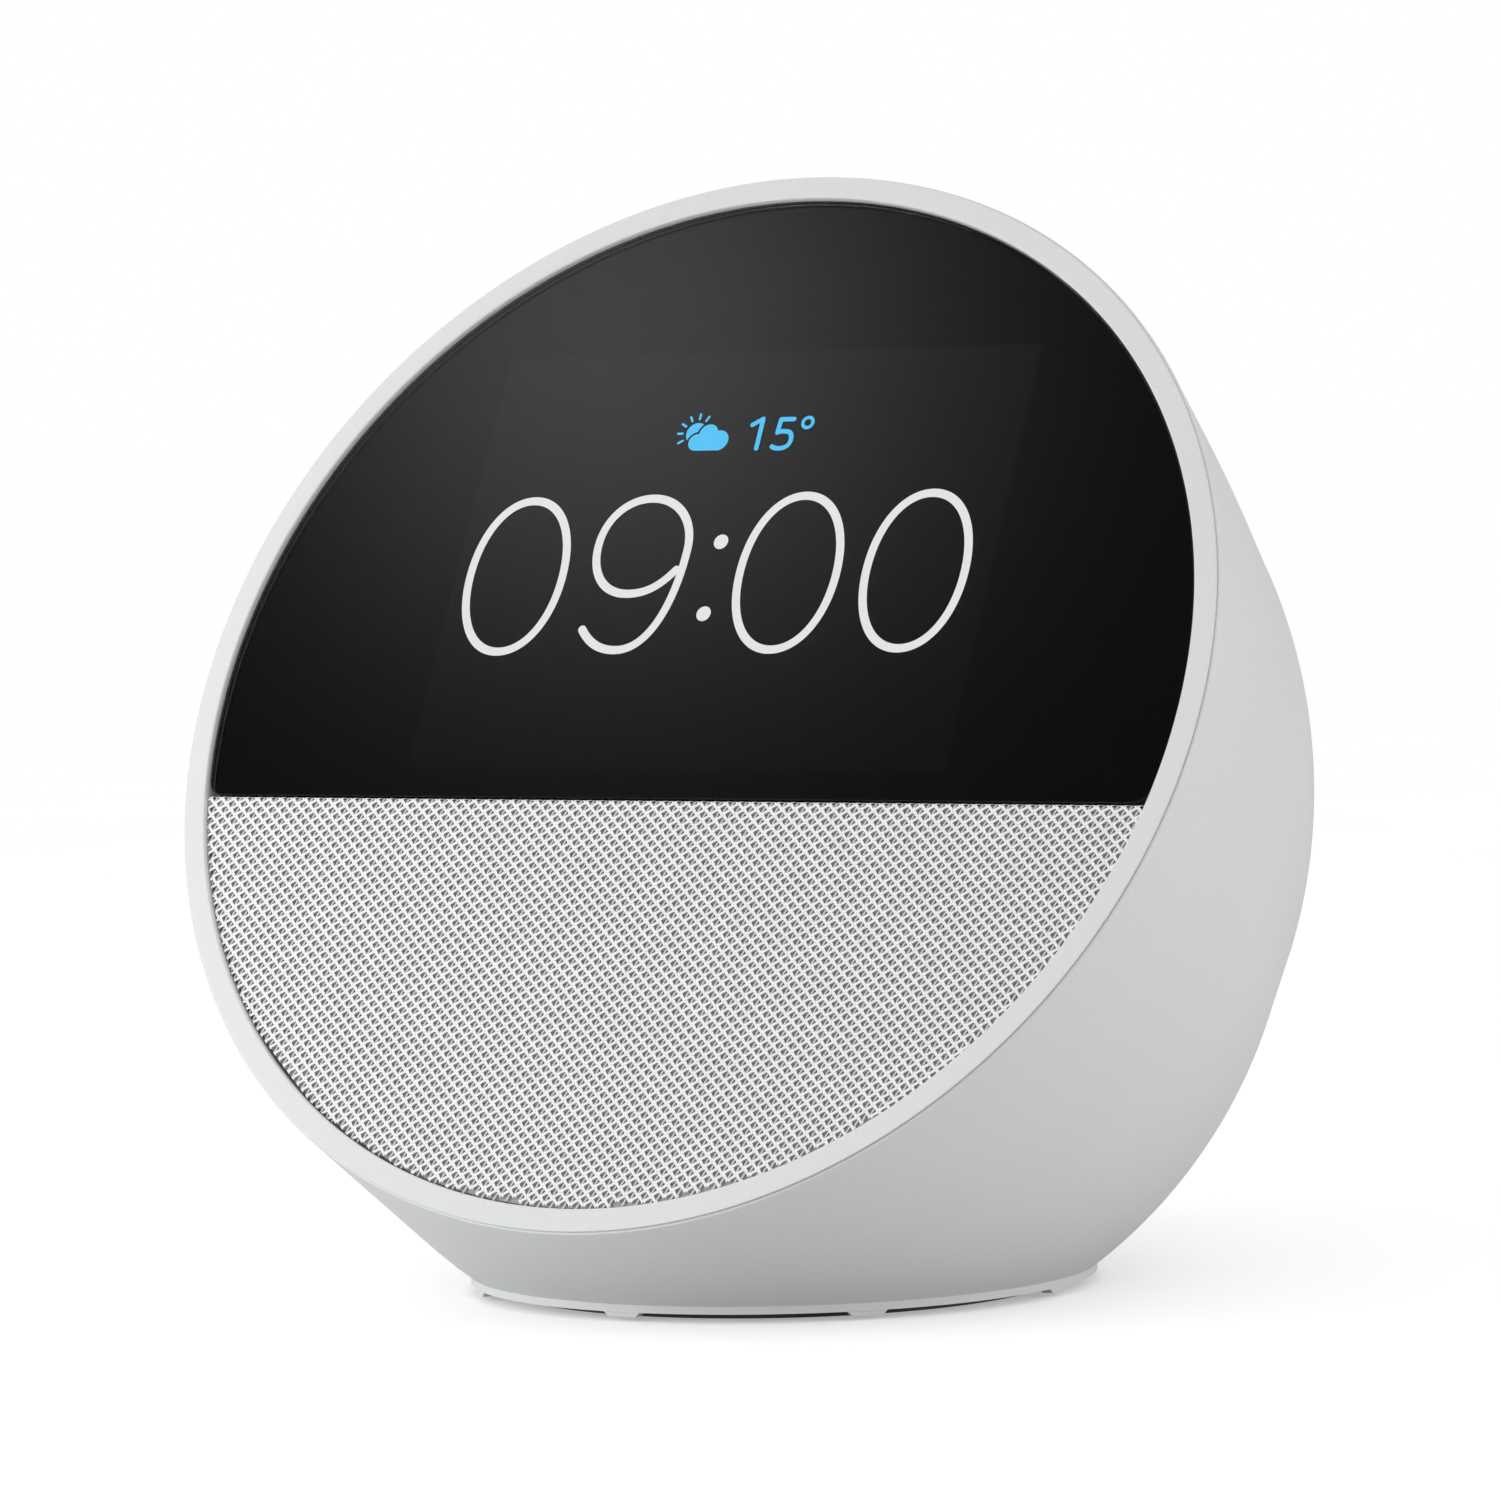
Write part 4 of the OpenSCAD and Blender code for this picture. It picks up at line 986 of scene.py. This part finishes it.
class SPEAKER_OT_keys(bpy.types.Operator):
    """Three keys on top, with their printed marks"""
    bl_idname = "clock_speaker.keys"
    bl_label = "Keys"
    # lines of each mark: width and points in millimetres
    marks = {
        "volume_down_key": [(0.26, (-1.1, 0), (1.1, 0))],
        "volume_up_key": [(0.26, (-1.1, 0), (1.1, 0)), (0.26, (0, -1.1), (0, 1.1))],
        "microphone_key": [
            (0.72, (0, 0.75), (0, -0.15)),
            (0.2, (-0.75, 0.05), (-0.72, -0.35), (-0.4, -0.72), (0, -0.82), (0.4, -0.72), (0.72, -0.35),
             (0.75, 0.05)),
            (0.2, (0, -0.82), (0, -1.3)), (0.2, (-0.45, -1.3), (0.45, -1.3)),
            (0.2, (-1.15, 1.2), (1.15, -1.3))],
    }

    def height(self, x, y, key_x, dish=0.28):
        """Height of a key's face over the ball's centre, in millimetres."""
        ball = settings().shell.ball_r / MM + KEY_RISE
        rho = math.hypot(x - key_x, y) / KEY_R
        return math.sqrt(ball * ball - x * x - y * y) - dish * max(0.0, 1 - rho ** 2) ** 1.5

    def execute(self, context):
        for body, cap, x in (("volume_down", "volume_down_key", -KEY_X),
                             ("microphone_button", "microphone_key", 0.0),
                             ("volume_up", "volume_up_key", KEY_X)):
            bm = bmesh.new()
            # rings from the middle out
            centre = bm.verts.new((0, 0, 0))
            tip = bmesh.ops.extrude_vert_indiv(bm, verts=[centre])
            tip["verts"][0].co = (4.05 * MM, 0, 0)
            bmesh.ops.subdivide_edges(bm, edges=tip["edges"], cuts=14)
            bmesh.ops.spin(bm, geom=bm.verts[:] + bm.edges[:], cent=(0, 0, 0), axis=(0, 0, 1),
                           angle=2 * math.pi, steps=96, use_merge=True)
            bmesh.ops.remove_doubles(bm, verts=bm.verts, dist=1e-7)
            for v in bm.verts:
                v.co.z = self.height(v.co.x / MM + x, v.co.y / MM, x) * MM
            rim = [e for e in bm.edges if e.is_boundary]
            # over the edge by drops, then down the side, round the flange and into the stem by levels
            for radius, drop, level in ((4.2, 0.04, None), (4.28, 0.14, None), (KEY_R, 0.3, None),
                                        (KEY_R, None, 44.4), (5.2, None, 44.4), (5.2, None, 43.3),
                                        (1.2, None, 43.3), (1.2, None, 41.85)):
                verts, rim = grow(bm, rim)
                for v in verts:
                    flat = Vector((v.co.x, v.co.y, 0)).normalized() * radius * MM
                    z = level or self.height(flat.x / MM + x, flat.y / MM, x) - drop
                    v.co = Vector((flat.x, flat.y, z * MM))
            bmesh.ops.holes_fill(bm, edges=rim, sides=0)
            bmesh.ops.recalc_face_normals(bm, faces=bm.faces)
            piece = new_object(bm, cap + "_cap", 40, ON_KEYS @ shift(x, 0, 0))
            fit_out(piece, body, "key_plastic", cap)
            fit_out(self.mark(cap, x), body, "key_plastic", material=finish_named("mark_ink"))
        return {"FINISHED"}

    def mark(self, cap, x):
        """A generic mark: minus, a small microphone with a bar across it, or plus."""
        bm = bmesh.new()
        for width, *points in self.marks[cap]:
            add_to(bm, self.line(points, width))
        # the ink stands a little over the key's face, and its underside is sunk in it
        for v in bm.verts:
            up = 0.012 if v.co.z > 0 else -0.02
            v.co.z = (self.height(v.co.x / MM + x, v.co.y / MM, x) + up) * MM
        bmesh.ops.recalc_face_normals(bm, faces=bm.faces)
        return new_object(bm, cap + "_mark", 60, ON_KEYS @ shift(x, 0, 0))

    def line(self, points, width):
        """A thin flat line with round ends through points."""
        bm = bmesh.new()
        for a, b in zip(points, points[1:]):
            a, b = Vector((*a, 0)), Vector((*b, 0))
            run = (b - a).length
            turn = math.atan2(b.y - a.y, b.x - a.x)
            made = bmesh.ops.create_cube(bm, size=1.0)["verts"]
            bmesh.ops.scale(bm, vec=(run * MM, width * MM, 0.02 * MM), verts=made)
            mid = (a + b) / 2
            place = shift(mid.x, mid.y, 0) @ Matrix.Rotation(turn, 4, "Z")
            bmesh.ops.transform(bm, matrix=place, verts=made)
            edges = list({e for v in made for e in v.link_edges})
            bmesh.ops.subdivide_edges(bm, edges=edges, cuts=2, use_grid_fill=True)
        for p in points:
            rod(bm, shift(p[0], p[1], 0), width / 2, 0.02, 20)
        return bm


class SPEAKER_OT_carried(bpy.types.Operator):
    """Materials for the pieces that keep their CAD shape"""
    bl_idname = "clock_speaker.carried"
    bl_label = "Inner pieces"

    def execute(self, context):
        for entry in frame["record"]["subparts"]:
            node = frame["nodes"][entry["node"]]
            if node.hide_render:
                continue
            node.data.materials.clear()
            node.data.materials.append(finish_named(entry["material_slot"]))
        return {"FINISHED"}


# ---------------------------------------------------------------------------
# Stage
# ---------------------------------------------------------------------------

class SPEAKER_OT_stage(bpy.types.Operator):
    """Pale floor, soft light and camera"""
    bl_idname = "clock_speaker.stage"
    bl_label = "Stage"
    # the point that the camera looks at, over the face's centre, in millimetres
    target = (19.87, -4.68)
    # shift of the lens in parts of the picture's width
    picture = 1500
    lens_shift = (-38.2 / picture, -23.5 / picture)
    # the way of a ray that meets the room's soft bright patch
    patch_way = (-0.5242, -0.4650, 0.7135)

    def execute(self, context):
        scene = context.scene
        scene.view_settings.view_transform = "Standard"
        scene.view_settings.look = "None"
        self.floor()
        self.world(scene)
        self.lamp("key_light", (-0.26, -0.27, 0.08), 0.25, 0.7)
        self.lamp("side_light", (0.5, 0.05, 0.05), 0.35, 0.75)
        self.camera(scene)
        return {"FINISHED"}

    def floor(self):
        """A pale disc. To the camera the paper is bright; to the speaker it gives back less light."""
        bm = bmesh.new()
        bmesh.ops.create_circle(bm, cap_ends=True, segments=96, radius=14.0)
        floor = new_object(bm, "stage_floor")
        paper, tree, shader = new_material("StagePaper", {
            "Roughness": 1.0, "Specular IOR Level": 0.0, "Emission Color": (1, 1, 1, 1)})
        seen = add_node(tree, "LightPath").outputs["Is Camera Ray"]
        tone = span(tree, noise(tree, {"Scale": 400.0}), 0.89, 0.93)
        albedo = add_node(tree, "Mix", {"Factor": seen, "A": (0.72, 0.72, 0.72, 1), "B": tone},
                          data_type="RGBA")
        feed(shader, {"Base Color": albedo.outputs["Result"],
                      "Emission Strength": maths(tree, "MULTIPLY", seen, 0.35)})
        floor.data.materials.append(paper)

    def camera(self, scene):
        s = settings().stage
        level = math.cos(s.elevation)
        away = Vector((math.sin(s.azimuth) * level, -math.cos(s.azimuth) * level, math.sin(s.elevation)))
        right = Vector((math.cos(s.azimuth), math.sin(s.azimuth), 0))
        up = away.cross(right)
        across = right * math.cos(s.roll) + up * math.sin(s.roll)
        upward = up * math.cos(s.roll) - right * math.sin(s.roll)
        target = Vector((0, FACE_Y + self.target[0] * MM, FACE_Z + self.target[1] * MM))
        data = bpy.data.cameras.new("front_camera")
        data.lens = s.lens
        data.sensor_width = 36.0
        data.clip_start = 0.01
        data.clip_end = 100.0
        data.shift_x, data.shift_y = self.lens_shift
        camera = bpy.data.objects.new("front_camera", data)
        turn = Matrix((across, upward, away)).transposed().to_4x4()
        camera.matrix_world = Matrix.Translation(target + away * s.distance) @ turn
        scene.collection.objects.link(camera)
        scene.camera = camera

    def world(self, scene):
        """A white room. Polished faces see it dimmer, with one soft bright patch up on the left."""
        world = bpy.data.worlds.new("white_room")
        scene.world = world
        world.use_nodes = True
        tree = world.node_tree
        tree.nodes.clear()
        place = coordinates(tree, "Generated")
        patch = add_node(tree, "VectorMath", {0: place, 1: Vector(self.patch_way).normalized()},
                         operation="DOT_PRODUCT").outputs["Value"]
        gap = maths(tree, "SUBTRACT", 1.0, patch)
        fall = maths(tree, "EXPONENT", maths(tree, "DIVIDE", gap, -0.00101))
        shade = span(tree, patch, 0.45, 0.046, 0.7, 0.965, interpolation_type="SMOOTHSTEP")
        polished = maths(tree, "MULTIPLY_ADD", fall, 0.55, shade)
        # matt faces see the room bright above and dim below
        height = add_node(tree, "SeparateXYZ", {0: place}).outputs["Z"]
        matt = span(tree, height, 0.12, 0.74, -0.5, 0.6, interpolation_type="SMOOTHSTEP")
        paths = add_node(tree, "LightPath").outputs
        pick = add_node(tree, "Mix", {"Factor": paths["Is Diffuse Ray"], "A": polished, "B": matt},
                        data_type="FLOAT")
        show = add_node(tree, "Mix", {"Factor": paths["Is Camera Ray"], "A": pick.outputs["Result"],
                                      "B": 1.0}, data_type="FLOAT")
        light = add_node(tree, "Background", {"Color": (1, 1, 1, 1), "Strength": show.outputs["Result"]})
        add_node(tree, "OutputWorld", {"Surface": light.outputs[0]})

    def lamp(self, name, place, size, watts):
        data = bpy.data.lights.new(name, "AREA")
        data.shape = "DISK"
        data.size = size
        data.energy = watts
        lamp = bpy.data.objects.new(name, data)
        lamp.location = place
        lamp.visible_glossy = lamp.visible_transmission = False
        lamp.rotation_euler = (Vector(place) - Vector((0, 0, 0.05))).to_track_quat("Z", "Y").to_euler()
        bpy.context.scene.collection.objects.link(lamp)


class SPEAKER_PG_all(bpy.types.PropertyGroup):
    shell: PointerProperty(type=SPEAKER_PG_shell)
    face: PointerProperty(type=SPEAKER_PG_face)
    knit: PointerProperty(type=SPEAKER_PG_knit)
    stage: PointerProperty(type=SPEAKER_PG_stage)


class SPEAKER_PT_panel(bpy.types.Panel):
    """Sidebar panel that lists the pieces and their sizes"""
    bl_idname = "SPEAKER_PT_panel"
    bl_label = "Clock Speaker"
    bl_space_type = "VIEW_3D"
    bl_region_type = "UI"
    bl_category = "Clock Speaker"

    def draw(self, context):
        layout = self.layout
        whole = context.scene.clock_speaker
        for label in ("shell", "face", "knit", "stage"):
            group = getattr(whole, label)
            box = layout.box()
            box.label(text=label.capitalize())
            for key in group.__annotations__:
                box.prop(group, key)
        for operator in OPERATORS:
            layout.operator(operator.bl_idname)


OPERATORS = (SPEAKER_OT_shell, SPEAKER_OT_bezel, SPEAKER_OT_glass, SPEAKER_OT_figures, SPEAKER_OT_cloth,
             SPEAKER_OT_keys, SPEAKER_OT_carried, SPEAKER_OT_stage)
CLASSES = (SPEAKER_PG_shell, SPEAKER_PG_face, SPEAKER_PG_knit, SPEAKER_PG_stage, SPEAKER_PG_all,
           *OPERATORS, SPEAKER_PT_panel)


def register():
    for item in CLASSES:
        bpy.utils.register_class(item)
    bpy.types.Scene.clock_speaker = PointerProperty(type=SPEAKER_PG_all)


def unregister():
    del bpy.types.Scene.clock_speaker
    for item in reversed(CLASSES):
        bpy.utils.unregister_class(item)


def main():
    register()
    for piece in ("stage", "shell", "bezel", "glass", "figures", "cloth", "keys", "carried"):
        getattr(bpy.ops.clock_speaker, piece)()


if __name__ == "__main__":
    main()
